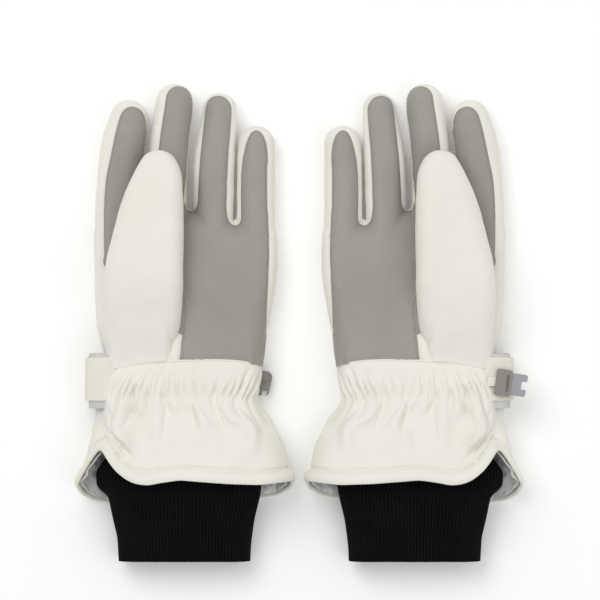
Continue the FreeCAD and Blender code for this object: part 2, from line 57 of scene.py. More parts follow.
logging.basicConfig(level=logging.INFO, format="%(message)s")
log = logging.getLogger("gloves")
Array = np.ndarray
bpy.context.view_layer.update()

# Shapes are in millimetres. Materials, node trees and the studio are in metres.
MM = 0.001
LOWEST = 0.05
SKIN_LOWEST = 0.15
SHARP_ANGLE = 0.9
STITCH_LIFT = 0.12
FINE_THREAD = 0.22
KNUCKLE_THREAD = 0.25
SEAM_MARGIN = 1.5
SKIN_STEP = 1.35
PADDED_WALL = 1.5


class Side(Enum):
    """Which hand a glove is for."""

    LEFT = "left"
    RIGHT = "right"

    def name_of(self, part: str) -> str:
        """The name of this side's node, body or piece."""
        return f"{self.value}_{part}"

    def place(self, points: Array) -> Array:
        """Points drawn for the left glove, moved to this glove."""
        points = np.array(points, float)
        if self is Side.RIGHT:
            points[..., 0] *= -1
        return points


# ------------------------------------------------------------------ numbers and curves


def blur(values: Array, width: float, wrap: bool = False) -> Array:
    """Smooth a row of values with a bell of the given width.

    Args:
        values: The row.
        width: The bell's width in samples.
        wrap: Whether the row closes on itself.

    Returns:
        The smoothed row.
    """
    reach = int(width * 3) + 1
    bell = np.exp(-0.5 * (np.arange(-reach, reach + 1) / width) ** 2)
    padded = np.pad(values, reach, mode="wrap" if wrap else "edge")
    return np.convolve(padded, bell / bell.sum(), mode="valid")


class Profile:
    """A smooth curve through a short table of stations."""

    def __init__(self, table: Sequence[tuple[float, float]], soft: float = 4.0) -> None:
        """Read the table and round its corners over about soft units."""
        xs, ys = np.array(table, float).T
        self.at = np.linspace(xs[0] - 30, xs[-1] + 30, 600)
        step = self.at[1] - self.at[0]
        self.value = blur(np.interp(self.at, xs, ys), max(soft / step, 0.5))

    def __call__(self, x: Array) -> Array:
        """The curve's value at x."""
        return np.interp(x, self.at, self.value)


def smoothstep(x: Array, low: float, high: float) -> Array:
    """Rise softly from 0 at low to 1 at high."""
    t = np.clip((x - low) / (high - low), 0, 1)
    return t * t * (3 - 2 * t)


def bell(x: Array, width: float) -> Array:
    """A soft bump that is 1 at 0."""
    return np.exp(-((x / width) ** 2))


class Ripple:
    """Seeded smooth noise made of sine waves in random directions."""

    def __init__(self, seed: int, size: float, waves: int = 18) -> None:
        """Draw the waves.

        Args:
            seed: Fixes the noise.
            size: The typical size of a bump, in millimetres.
            waves: How many waves are summed.
        """
        draw = np.random.RandomState(seed)
        way = draw.normal(size=(waves, 3))
        way /= np.linalg.norm(way, axis=1, keepdims=True)
        self.way = way * (2 * np.pi / (size * draw.uniform(1.2, 3.2, (waves, 1))))
        self.start = draw.uniform(0, 2 * np.pi, waves)

    def __call__(self, points: Array) -> Array:
        """The noise at each point, mostly between -1 and 1."""
        total = np.zeros(points.shape[:-1])
        for way, start in zip(self.way, self.start):
            total += np.sin(points @ way + start)
        return total / np.sqrt(len(self.start) / 2.0) / 2


# ------------------------------------------------------------------ skins


@dataclass
class Skin:
    """A mesh of triangles, or of quads over a grid."""

    verts: Array
    tris: Array

    def compact(self) -> "Skin":
        """The same skin without its unused points."""
        used, tris = np.unique(self.tris, return_inverse=True)
        return Skin(self.verts[used], tris.reshape(-1, 3))

    def split(self, values: Array) -> tuple["Skin", "Skin", Array, Array]:
        """Cut the skin along the line where the values at its points cross 0.

        Args:
            values: One value for each point.

        Returns:
            The part below 0, the part above 0, and the cut's points and edges.
        """
        values = np.where(np.abs(values) < 1e-5, 1e-5, values)
        below = values < 0
        count = below[self.tris].sum(1)
        mixed = self.tris[(count == 1) | (count == 2)]
        part = below[mixed]
        single = part.sum(1) == 1
        lone = np.where(single, part.argmax(1), part.argmin(1))
        row = np.arange(len(mixed))
        a, b, c = (mixed[row, (lone + turn) % 3] for turn in range(3))
        pairs = np.sort(np.concatenate([np.stack([a, b], 1), np.stack([a, c], 1)]), 1)
        pairs, place = np.unique(pairs, axis=0, return_inverse=True)
        place = place.reshape(-1)
        share = values[pairs[:, 0]] / (values[pairs[:, 0]] - values[pairs[:, 1]])
        ends = self.verts[pairs]
        cut = ends[:, 0] + (ends[:, 1] - ends[:, 0]) * share[:, None]
        verts = np.concatenate([self.verts, cut])
        ab = len(self.verts) + place[: len(mixed)]
        ac = len(self.verts) + place[len(mixed):]
        tip = np.stack([a, ab, ac], 1)
        rest = np.concatenate([np.stack([ab, b, c], 1), np.stack([ab, c, ac], 1)])
        twice = np.concatenate([single, single])
        low = [self.tris[count == 3], tip[single], rest[~twice]]
        high = [self.tris[count == 0], tip[~single], rest[twice]]
        edges = np.stack([place[: len(mixed)], place[len(mixed):]], 1)
        return (
            Skin(verts, np.concatenate(low)).compact(),
            Skin(verts, np.concatenate(high)).compact(),
            cut,
            edges,
        )


def polygonize(value: Callable, low: Array, high: Array, step: float) -> Skin:
    """Turn an implicit form into a closed skin.

    Args:
        value: Gives the form's value at points, below 0 inside.
        low: The lowest corner of the room searched.
        high: The highest corner.
        step: The spacing of the grid.

    Returns:
        A skin whose points lie on the form.
    """
    low = np.array(low, float)
    axes = [np.arange(a, b + step, step) for a, b in zip(low, high)]
    grid = np.stack(np.meshgrid(*axes, indexing="ij"), -1)
    values = value(grid)
    cells = tuple(np.array(values.shape) - 1)
    total = np.zeros((int(np.prod(cells)), 3))
    count = np.zeros(len(total))
    quads = []
    for axis in range(3):
        first, second = (j for j in range(3) if j != axis)
        near = np.take(values, range(cells[axis]), axis)
        far = np.take(values, range(1, cells[axis] + 1), axis)
        hit = np.argwhere((near < 0) != (far < 0))
        inner = (hit[:, first] > 0) & (hit[:, second] > 0)
        inner &= (hit[:, first] < cells[first]) & (hit[:, second] < cells[second])
        hit = hit[inner]
        start = near[tuple(hit.T)]
        share = start / (start - far[tuple(hit.T)])
        point = hit.astype(float)
        point[:, axis] += share
        point = low + point * step
        corners = []
        for back_first, back_second in ((0, 0), (1, 0), (1, 1), (0, 1)):
            cell = hit.copy()
            cell[:, first] -= back_first
            cell[:, second] -= back_second
            corners.append(np.ravel_multi_index(tuple(cell.T), cells))
        for corner in corners:
            np.add.at(total, corner, point)
            np.add.at(count, corner, 1)
        quad = np.stack(corners, 1)
        turned = (start >= 0) if axis != 1 else (start < 0)
        quad[turned] = quad[turned][:, ::-1]
        quads.append(quad)
    quads = np.concatenate(quads)
    used, quads = np.unique(quads, return_inverse=True)
    quads = quads.reshape(-1, 4)
    verts = total[used] / count[used][:, None]
    for _ in range(3):
        slope = gradient(value, verts)
        square = np.maximum((slope**2).sum(1), 0.05)
        push = np.clip(value(verts), -step, step) / square
        verts = verts - slope * push[:, None]
    one = np.linalg.norm(verts[quads[:, 0]] - verts[quads[:, 2]], axis=1)
    two = np.linalg.norm(verts[quads[:, 1]] - verts[quads[:, 3]], axis=1)
    near = one < two
    tris = np.concatenate(
        [
            quads[near][:, [0, 1, 2]],
            quads[near][:, [0, 2, 3]],
            quads[~near][:, [0, 1, 3]],
            quads[~near][:, [1, 2, 3]],
        ]
    )
    return Skin(verts, tris)


def gradient(value: Callable, points: Array, reach: float = 0.25) -> Array:
    """The slope of an implicit form at each point."""
    slope = np.zeros_like(points)
    for axis in range(3):
        step = np.zeros(3)
        step[axis] = reach
        slope[:, axis] = (value(points + step) - value(points - step)) / (2 * reach)
    return slope


def unit(vectors: Array) -> Array:
    """Vectors at length 1."""
    return vectors / np.maximum(np.linalg.norm(vectors, axis=-1, keepdims=True), 1e-9)


# ------------------------------------------------------------------ making pieces


def mesh_of(name: str, verts: Array, faces: Array, side: Side) -> bpy.types.Mesh:
    """Make a mesh from points in millimetres and faces with equal corners."""
    mesh = bpy.data.meshes.new(name)
    faces = np.asarray(faces, np.int32)
    if side is Side.RIGHT:
        faces = faces[:, ::-1]
    corners = faces.shape[1]
    points = side.place(verts)
    points[:, 2] = np.maximum(points[:, 2], LOWEST)
    points = (points * MM).astype(np.float32)
    mesh.vertices.add(len(points))
    mesh.vertices.foreach_set("co", points.ravel())
    mesh.loops.add(faces.size)
    mesh.loops.foreach_set("vertex_index", np.ascontiguousarray(faces).ravel())
    mesh.polygons.add(len(faces))
    mesh.polygons.foreach_set("loop_start", np.arange(0, faces.size, corners, dtype=np.int32))
    mesh.update(calc_edges=True)
    mesh.polygons.foreach_set("use_smooth", np.ones(len(faces), bool))
    mesh.validate()
    return mesh


def add_piece(name: str, mesh: bpy.types.Mesh, finish: bpy.types.Material) -> bpy.types.Object:
    """Put a mesh in the scene as a piece with one finish."""
    mesh.materials.clear()
    mesh.materials.append(finish)
    piece = bpy.data.objects.new(name, mesh)
    bpy.context.scene.collection.objects.link(piece)
    log.info("piece %s: %d points, %d faces", name, len(mesh.vertices), len(mesh.polygons))
    return piece


def settle(piece: bpy.types.Object) -> bpy.types.Object:
    """Apply a piece's modifiers to its mesh, so that it is final."""
    bpy.context.view_layer.update()
    graph = bpy.context.evaluated_depsgraph_get()
    final = bpy.data.meshes.new_from_object(piece.evaluated_get(graph))
    piece.modifiers.clear()
    piece.data = final
    return piece


def thicken(piece: bpy.types.Object, wall: float) -> bpy.types.Object:
    """Give an open skin a wall, inwards, and apply it."""
    shell = piece.modifiers.new("wall", "SOLIDIFY")
    shell.thickness = wall * MM
    shell.offset = -1
    shell.use_rim = True
    settle(piece)
    piece.data.set_sharp_from_angle(angle=SHARP_ANGLE)
    return piece


def hold(
    piece: bpy.types.Object,
    side: Side,
    nodes: Sequence[str] = (),
    bend: Callable | None = None,
) -> None:
    """Say what carries a piece and what it stands for.

    Args:
        piece: The piece.
        side: The glove it is on.
        nodes: The nodes it stands for.
        bend: Takes the piece in place of the hand; the ones here only bake its placement. Without
            one it rides on the hand.
    """
    if bend:
        bend(side, piece)
    else:
        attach(piece, side.name_of("hand"))
    if nodes:
        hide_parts(*[side.name_of(node) for node in nodes])


def grid_faces(rows: int, columns: int, closed: bool = True) -> Array:
    """Quads between the rows of a grid, outwards for columns that run anticlockwise."""
    last = columns if closed else columns - 1
    row, column = np.meshgrid(np.arange(rows - 1), np.arange(last), indexing="ij")
    ahead = (column + 1) % columns
    quads = [row * columns + column, row * columns + ahead]
    quads += [(row + 1) * columns + ahead, (row + 1) * columns + column]
    return np.stack(quads, -1).reshape(-1, 4)


def loop_edges(count: int) -> Array:
    """The edges of a closed row of points."""
    column = np.arange(count)
    return np.stack([column, (column + 1) % count], 1)


def grid_skin(points: Array, closed: bool = True) -> Skin:
    """A skin over a grid of points, rows by columns."""
    return Skin(points.reshape(-1, 3), grid_faces(*points.shape[:2], closed))


# ------------------------------------------------------------------ node groups


class Tree:
    """A small builder of node trees."""

    def __init__(self, tree: bpy.types.NodeTree) -> None:
        """Build in an existing tree."""
        self.tree = tree

    def feed(self, node: bpy.types.Node, inputs: dict[str | int, object]) -> bpy.types.Node:
        """Link a node's inputs to sockets, or set them to values."""
        for name, value in inputs.items():
            if isinstance(value, bpy.types.NodeSocket):
                self.tree.links.new(value, node.inputs[name])
            else:
                node.inputs[name].default_value = value
        return node

    def add(
        self, kind: str, inputs: dict[str | int, object] | None = None, **settings: object
    ) -> bpy.types.Node:
        """Add a node, set its properties and feed its inputs."""
        node = self.tree.nodes.new(kind)
        for name, value in settings.items():
            setattr(node, name, value)
        return self.feed(node, inputs or {})


class Group(Tree):
    """A small builder of node groups."""

    def __init__(self, name: str, kind: str) -> None:
        """Start an empty group of the given tree kind."""
        super().__init__(bpy.data.node_groups.new(name, kind))
        self.entry = self.add("NodeGroupInput")
        self.exit = self.add("NodeGroupOutput")

    def socket(self, name: str, kind: str, way: str = "INPUT", value: object = None) -> str:
        """Add a socket and return its identifier."""
        made = self.tree.interface.new_socket(name, in_out=way, socket_type=kind)
        if value is not None:
            made.default_value = value
        return made.identifier

    def floats(self, values: dict[str, float]) -> dict[str, str]:
        """Add number inputs with their values and return their identifiers."""
        return {
            name: self.socket(name, "NodeSocketFloat", value=value)
            for name, value in values.items()
        }


def noise_group() -> bpy.types.NodeTree:
    """Fine grain and soft mottling: a height and a shade that vary over the surface."""
    group = Group("grain", "ShaderNodeTree")
    group.socket("Vector", "NodeSocketVector")
    group.floats(
        {"Grain Scale": 900.0, "Cell Scale": 600.0, "Cell Share": 0.5, "Mottle Scale": 30.0}
    )
    for name in ("Height", "Shade"):
        group.socket(name, "NodeSocketFloat", "OUTPUT")
    source = group.entry.outputs
    fine, cells, mottle = (
        group.add(kind, {"Vector": source["Vector"], "Scale": source[scale], **more})
        for kind, scale, more in (
            ("ShaderNodeTexNoise", "Grain Scale", {"Detail": 3.0}),
            ("ShaderNodeTexVoronoi", "Cell Scale", {}),
            ("ShaderNodeTexNoise", "Mottle Scale", {"Detail": 4.0}),
        )
    )
    mix = group.add(
        "ShaderNodeMix",
        {0: source["Cell Share"], 2: fine.outputs["Fac"], 3: cells.outputs["Distance"]},
        data_type="FLOAT",
    )
    group.feed(group.exit, {"Height": mix.outputs[0], "Shade": mottle.outputs["Fac"]})
    return group.tree


def weave_group() -> bpy.types.NodeTree:
    """Crossing threads, as a height."""
    group = Group("weave", "ShaderNodeTree")
    group.socket("Vector", "NodeSocketVector")
    group.floats({"Across": 3000.0, "Along": 3000.0})
    group.socket("Height", "NodeSocketFloat", "OUTPUT")
    source = group.entry.outputs
    parts = group.add("ShaderNodeSeparateXYZ", {0: source["Vector"]})
    waves = []
    for axis, scale in (("X", "Across"), ("Y", "Along")):
        turn = {0: parts.outputs[axis], 1: source[scale]}
        times = group.add("ShaderNodeMath", turn, operation="MULTIPLY")
        sine = group.add("ShaderNodeMath", {0: times.outputs[0]}, operation="SINE")
        waves.append(sine.outputs[0])
    product = group.add("ShaderNodeMath", dict(enumerate(waves)), operation="MULTIPLY")
    group.feed(group.exit, {"Height": product.outputs[0]})
    return group.tree


@dataclass(frozen=True)
class Finish:
    """One material: its colours, gloss, sheen, grain and weave, with bump depths in metres."""

    name: str
    colour: tuple[float, float, float]
    shadow: tuple[float, float, float]
    roughness: float = 0.8
    sheen: float = 0.0
    grain: float = 900.0
    cell: float = 600.0
    cell_share: float = 0.4
    depth: float = 0.0001
    mottle: float = 25.0
    weave: float = 0.0
    weave_along: float = 0.0
    weave_depth: float = 0.0
    gloss: float = 0.35
    sheen_roughness: float = 0.4
    roughness_spread: float = 0.06

    def make(self, grain: bpy.types.NodeTree, weave: bpy.types.NodeTree) -> bpy.types.Material:
        """Build the material from the shared groups.

        Args:
            grain: The grain group.
            weave: The weave group.

        Returns:
            The material.
        """
        made = bpy.data.materials.new(self.name)
        made.use_nodes = True
        tree = Tree(made.node_tree)
        place = tree.add("ShaderNodeTexCoord").outputs["Object"]
        fine = tree.add("ShaderNodeGroup", {
            "Vector": place,
            "Grain Scale": self.grain,
            "Cell Scale": self.cell,
            "Cell Share": self.cell_share,
            "Mottle Scale": self.mottle,
        }, node_tree=grain).outputs
        spread = tree.add(
            "ShaderNodeMapRange", {"Value": fine["Shade"], "From Min": 0.25, "From Max": 0.6}
        )
        tint = tree.add(
            "ShaderNodeMix",
            {0: spread.outputs["Result"], 6: (*self.shadow, 1), 7: (*self.colour, 1)},
            data_type="RGBA",
        )
        rough = tree.add("ShaderNodeMapRange", {
            "Value": fine["Shade"],
            "To Min": max(self.roughness - self.roughness_spread, 0),
            "To Max": min(self.roughness + self.roughness_spread, 1),
        })
        bump = tree.add(
            "ShaderNodeBump", {"Height": fine["Height"], "Distance": self.depth, "Strength": 1.0}
        )
        if self.weave:
            threads = tree.add(
                "ShaderNodeGroup",
                {"Vector": place, "Across": self.weave, "Along": self.weave_along},
                node_tree=weave,
            )
            bump = tree.add("ShaderNodeBump", {
                "Height": threads.outputs["Height"],
                "Distance": self.weave_depth,
                "Normal": bump.outputs["Normal"],
            })
        tree.feed(made.node_tree.nodes["Principled BSDF"], {
            "Base Color": tint.outputs[2],
            "Roughness": rough.outputs["Result"],
            "Specular IOR Level": self.gloss,
            "Sheen Weight": self.sheen,
            "Sheen Roughness": self.sheen_roughness,
            "Normal": bump.outputs["Normal"],
        })
        return made


FINISHES = {
    "cream": Finish(
        "cream_softshell", (0.865, 0.848, 0.775), (0.83, 0.808, 0.725), 0.78, 0.15,
        1500.0, 1100.0, 0.35, 0.00008, 18.0, 5200.0, 5200.0, 0.00002,
    ),
    "grey": Finish(
        "grey_palm", (0.355, 0.34, 0.305), (0.315, 0.30, 0.265), 0.6, 0.0,
        1300.0, 1250.0, 0.75, 0.00016, 22.0,
    ),
    "knit": Finish(
        "black_rib_knit", (0.005, 0.005, 0.005), (0.003, 0.003, 0.003), 1.0, 0.0,
        1800.0, 1400.0, 0.4, 0.00025, 60.0, 0.0, 0.0, 0.0, 0.12,
    ),
    # Lining colour: its own light grey, lifted near white as painted light to make up for the shade
    # inside the gauntlet.
    "lining": Finish(
        "lining_satin", (0.93, 0.93, 0.915), (0.84, 0.84, 0.825), 0.55, 0.1,
        1800.0, 900.0, 0.3, 0.00006, 30.0, 6500.0, 6500.0, 0.00002,
    ),
    "webbing": Finish(
        "cream_webbing", (0.84, 0.82, 0.725), (0.80, 0.78, 0.68), 0.8, 0.1,
        1200.0, 900.0, 0.3, 0.00008, 40.0, 3600.0, 5200.0, 0.00006,
    ),
    "backing": Finish(
        "loop_backing_cloth", (0.62, 0.615, 0.59), (0.56, 0.555, 0.53), 0.7, 0.1,
        1500.0, 1100.0, 0.35, 0.00008, 18.0, 5200.0, 5200.0, 0.00002,
    ),
    "thread": Finish(
        "sewing_thread", (0.78, 0.765, 0.70), (0.72, 0.70, 0.64), 0.7, 0.1,
        3000.0, 2500.0, 0.3, 0.00004, 60.0,
    ),
    "clip": Finish(
        "clip_plastic", (0.27, 0.258, 0.23), (0.25, 0.24, 0.215), 0.42, 0.0,
        2500.0, 2500.0, 0.3, 0.00002, 40.0,
    ),
    "plate": Finish(
        "clip_plate_plastic", (0.37, 0.36, 0.395), (0.34, 0.33, 0.36), 0.4, 0.0,
        2500.0, 2500.0, 0.3, 0.00002, 40.0,
    ),
}


def row_tree(name: str, beads: bool) -> tuple[bpy.types.NodeTree, dict[str, str]]:
    """A geometry tree that sews stitches along edges, or sweeps a cord along them.

    Args:
        name: The tree's name.
        beads: True for separate stitches, False for one cord.

    Returns:
        The tree, and the identifier of each named input.
    """
    group = Group(name, "GeometryNodeTree")
    group.socket("Geometry", "NodeSocketGeometry")
    group.socket("Geometry", "NodeSocketGeometry", "OUTPUT")
    names = group.floats({"Pitch": 0.0026, "Length": 0.0019, "Radius": 0.0003})
    names["Material"] = group.socket("Material", "NodeSocketMaterial")
    source = group.entry.outputs
    line = group.add("GeometryNodeMeshToCurve", {0: source["Geometry"]})
    even = group.add(
        "GeometryNodeResampleCurve", {"Curve": line.outputs[0], "Length": source["Pitch"]},
        mode="LENGTH",
    )
    if beads:
        bead = group.add("GeometryNodeMeshUVSphere", {"Segments": 6, "Rings": 5, "Radius": 1.0})
        half = group.add("ShaderNodeMath", {0: source["Length"], 1: 0.5}, operation="MULTIPLY")
        size = group.add(
            "ShaderNodeCombineXYZ", {0: half.outputs[0], 1: source["Radius"], 2: source["Radius"]}
        )
        tangent = group.add("GeometryNodeInputTangent")
        aim = group.add(
            "FunctionNodeAlignRotationToVector", {"Vector": tangent.outputs[0]}, axis="X"
        )
        last = group.add("GeometryNodeInstanceOnPoints", {
            "Points": even.outputs[0],
            "Instance": bead.outputs["Mesh"],
            "Rotation": aim.outputs[0],
            "Scale": size.outputs[0],
        })
    else:
        ring = group.add(
            "GeometryNodeCurvePrimitiveCircle", {"Resolution": 8, "Radius": source["Radius"]}
        )
        last = group.add("GeometryNodeCurveToMesh", {
            "Curve": even.outputs[0], "Profile Curve": ring.outputs[0], "Fill Caps": True,
        })
    real = group.add("GeometryNodeRealizeInstances", {0: last.outputs[0]})
    dress = group.add(
        "GeometryNodeSetMaterial", {"Geometry": real.outputs[0], "Material": source["Material"]}
    )
    smooth = group.add("GeometryNodeSetShadeSmooth", {0: dress.outputs[0]})
    group.feed(group.exit, {0: smooth.outputs[0]})
    return group.tree, names


@dataclass
class Workshop:
    """The finishes and geometry trees that every sub-assembly uses."""

    finishes: dict[str, bpy.types.Material] = field(default_factory=dict)
    stitch: tuple[bpy.types.NodeTree, dict[str, str]] | None = None
    cord: tuple[bpy.types.NodeTree, dict[str, str]] | None = None

    def open(self) -> "Workshop":
        """Make everything once."""
        grain, weave = noise_group(), weave_group()
        self.finishes = {key: finish.make(grain, weave) for key, finish in FINISHES.items()}
        self.stitch = row_tree("stitch_row", True)
        self.cord = row_tree("cord_row", False)
        return self

    def row(
        self,
        name: str,
        side: Side,
        points: Array,
        edges: Array,
        finish: str,
        pitch: float = 2.6,
        length: float = 1.9,
        radius: float = 0.28,
        beads: bool = True,
    ) -> bpy.types.Object:
        """Sew a row of stitches, or lay a cord, along edges.

        Args:
            name: The piece's name.
            side: The glove it is on.
            points: The edges' points in millimetres.
            edges: Pairs of points.
            finish: The finish's key.
            pitch: The spacing of stitches, or of the cord's rings.
            length: A stitch's length.
            radius: The thread's or cord's radius.
            beads: True for stitches, False for a cord.

        Returns:
            The finished piece.
        """
        mesh = bpy.data.meshes.new(name)
        line = side.place(points)
        line[:, 2] = np.maximum(line[:, 2], radius + LOWEST)
        mesh.from_pydata((line * MM).tolist(), np.asarray(edges).tolist(), [])
        piece = bpy.data.objects.new(name, mesh)
        bpy.context.scene.collection.objects.link(piece)
        tree, names = self.stitch if beads else self.cord
        modifier = piece.modifiers.new("row", "NODES")
        modifier.node_group = tree
        modifier[names["Pitch"]] = pitch * MM
        modifier[names["Length"]] = length * MM
        modifier[names["Radius"]] = radius * MM
        modifier[names["Material"]] = self.finishes[finish]
        settle(piece)
        log.info("row %s: %d faces", name, len(piece.data.polygons))
        return piece

    def sew(
        self,
        side: Side,
        name: str,
        points: Array,
        edges: Array,
        finish: str,
        slot: str,
        bend: Callable | None = None,
        **sizes: float | bool,
    ) -> None:
        """Make a row on one glove, of the sizes given, and hold it there."""
        piece = self.row(side.name_of(name), side, points, edges, finish, **sizes)
        hold(piece, side, bend=bend)

    def skin(
        self, side: Side, name: str, skin: Skin, finish: str, wall: float = 0.0
    ) -> bpy.types.Object:
        """Make a skin into a piece of one glove, with a wall where one is given."""
        title = side.name_of(name)
        mesh = mesh_of(title, skin.verts, skin.tris, side)
        piece = add_piece(title, mesh, self.finishes[finish])
        return thicken(piece, wall) if wall else piece


# ------------------------------------------------------------------ the hand


def disc_stack(stations: Sequence[tuple[float, float, float]], count: int) -> Array:
    """Discs along a smooth line through stations of x, y and radius."""
    table = np.array(stations, float)
    table = np.concatenate([2 * table[:1] - table[1:2], table, 2 * table[-1:] - table[-2:-1]])
    spans = len(table) - 3
    out = []
    for place in np.linspace(0, spans - 1e-9, count):
        i = int(place)
        t = place - i
        a, b, c, d = table[i: i + 4]
        out.append(
            0.5
            * (
                2 * b
                + (c - a) * t
                + (2 * a - 5 * b + 4 * c - d) * t**2
                + (3 * b - a - 3 * c + d) * t**3
            )
        )
    return np.array(out)


def disc_depth(discs: Array, points: Array) -> Array:
    """Signed distance in plan to a stack of discs."""
    best = np.full(points.shape[:-1], 1e9)
    for x, y, radius in discs:
        away = np.hypot(points[..., 0] - x, points[..., 1] - y) - radius
        best = np.minimum(best, away)
    return best


def closed_curve(corners: Sequence[tuple[float, float]], steps: int) -> Array:
    """A smooth closed curve through corners, with a number of steps for each side."""
    knots = np.array(corners, float)
    before, after, beyond = np.roll(knots, 1, 0), np.roll(knots, -1, 0), np.roll(knots, -2, 0)
    rows = []
    for t in np.linspace(0, 1, steps, endpoint=False):
        rise = 2 * before - 5 * knots + 4 * after - beyond
        turn = 3 * knots - before - 3 * after + beyond
        rows.append(0.5 * (2 * knots + (after - before) * t + rise * t**2 + turn * t**3))
    return np.stack(rows, 1).reshape(-1, 2)


def outline_depth(corners: Array, points: Array) -> Array:
    """Signed distance in plan to a polygon."""
    x, y = points[..., 0], points[..., 1]
    best = np.full(x.shape, 1e18)
    inside = np.zeros(x.shape, bool)
    for (ax, ay), (bx, by) in zip(corners, np.roll(corners, -1, 0)):
        ex, ey = bx - ax, by - ay
        t = np.clip(((x - ax) * ex + (y - ay) * ey) / (ex * ex + ey * ey), 0, 1)
        best = np.minimum(best, (x - ax - ex * t) ** 2 + (y - ay - ey * t) ** 2)
        cross = ((ay <= y) != (by <= y)) & (x < ax + ex * (y - ay) / (ey if ey else 1e-9))
        inside ^= cross
    return np.where(inside, -1, 1) * np.sqrt(best)


def rounded(plan: Array, up: Array, corner: Array) -> Array:
    """The value of a form whose sides and top meet in a round of radius corner."""
    side = plan + corner
    outside = np.hypot(np.maximum(side, 0), np.maximum(up, 0))
    return outside + np.minimum(np.maximum(side, up), 0) - corner


def blend_min(a: Array, b: Array, soft: float) -> Array:
    """The smaller of two distances, with a soft join."""
    share = np.clip(0.5 + 0.5 * (b - a) / soft, 0, 1)
    return b + (a - b) * share - soft * share * (1 - share)


@dataclass(frozen=True)
class Finger:
    """One finger's plan: stations of x, y and half width, where its own skin starts, its joint."""

    name: str
    stations: tuple[tuple[float, float, float], ...]
    cut: float
    joint: float

    def discs(self) -> Array:
        """The finger as a stack of discs."""
        return disc_stack(self.stations, 64)


FINGERS = (
    Finger(
        "index",
        ((-119.5, 20, 14.6), (-119.8, 60, 15.4), (-119.2, 90, 15.2), (-116.8, 117, 14.4),
         (-113.6, 131, 13.2), (-112.8, 135.3, 12.4)),
        104.0,
        118.5,
    ),
    Finger(
        "middle",
        ((-86.5, 50, 13.6), (-87.6, 80, 13.9), (-87.2, 105, 13.7), (-86.0, 122, 13.2),
         (-83.8, 137, 13.0), (-82.6, 145.6, 12.4)),
        104.0,
        118.5,
    ),
    Finger(
        "ring",
        ((-57.4, 50, 13.6), (-57.5, 85, 14.2), (-56.9, 105, 13.9), (-54.7, 124, 12.6),
         (-53.4, 136, 11.6), (-53.2, 141.2, 11.1)),
        89.5,
        104.0,
    ),
    Finger(
        "little",
        ((-29.4, 45, 13.4), (-29.2, 75, 12.8), (-28.8, 103, 12.6), (-28.4, 118, 12.2)),
        75.5,
        90.0,
    ),
)
FINGER_EDGES = (-102.4, -72.6, -42.6)
PALM = (
    (-127.5, -34), (-129.0, -20), (-131.5, -12), (-134.2, -2), (-135.0, 25), (-135.4, 58),
    (-133.0, 66), (-104.0, 71), (-71.5, 74), (-45.0, 66), (-16.0, 60), (-14.4, 46),
    (-14.4, 36), (-15.6, 24), (-18.0, 10), (-21.0, -5), (-24.0, -34),
)
GREY = (
    (-78.4, -60), (-78.4, -20), (-78.5, 1.5), (-100, 16), (-127.6, 35.2), (-129.4, 46),
    (-129.8, 60), (-129.8, 76), (-128.6, 94), (-125.2, 110), (-121.6, 127), (-118.6, 137.4),
    (-115.2, 141.8), (-110.9, 143.6), (-105.0, 142.0), (-101.4, 137), (-99.9, 128),
    (-100.2, 110), (-100.2, 92), (-99.6, 80), (-96.8, 78), (-95.4, 84), (-94.2, 104),
    (-92.4, 124), (-89.4, 144), (-88.4, 151), (-85.6, 155.4), (-80.8, 157.4), (-74.6, 156.4),
    (-70.0, 151), (-69.0, 141), (-70.2, 132), (-71.6, 122), (-72.6, 110), (-73.6, 98),
    (-74.9, 86), (-74.8, 79), (-71.6, 74.2), (-68.6, 78), (-67.6, 92), (-66.4, 110),
    (-64.6, 130), (-63.4, 143), (-60.6, 149), (-54.6, 151.4), (-48.4, 149.4), (-44.4, 144),
    (-43.8, 138), (-44.8, 125), (-46.2, 110), (-47.0, 90), (-47.2, 75), (-45.6, 67.4),
    (-42.6, 65.4), (-39.9, 68.4), (-39.9, 88), (-38.8, 105), (-36.0, 118), (-32.8, 125.6),
    (-28.8, 128.0), (-24.4, 125.6), (-21.4, 119), (-20.0, 108), (-20.5, 94), (-19.8, 71),
    (-19.2, 48), (-19.7, 30), (-20.3, 12), (-20.6, -4), (-19.6, -16), (-19.0, -60),
)
WRIST_SEAM = Profile(
    [(-135, -33), (-122.7, -30.8), (-105.5, -27.1), (-85.3, -25.4), (-57, -24.6),
     (-41.9, -25.2), (-31.8, -26.9), (-23.7, -29.2), (-16, -31)], 3.0,
)


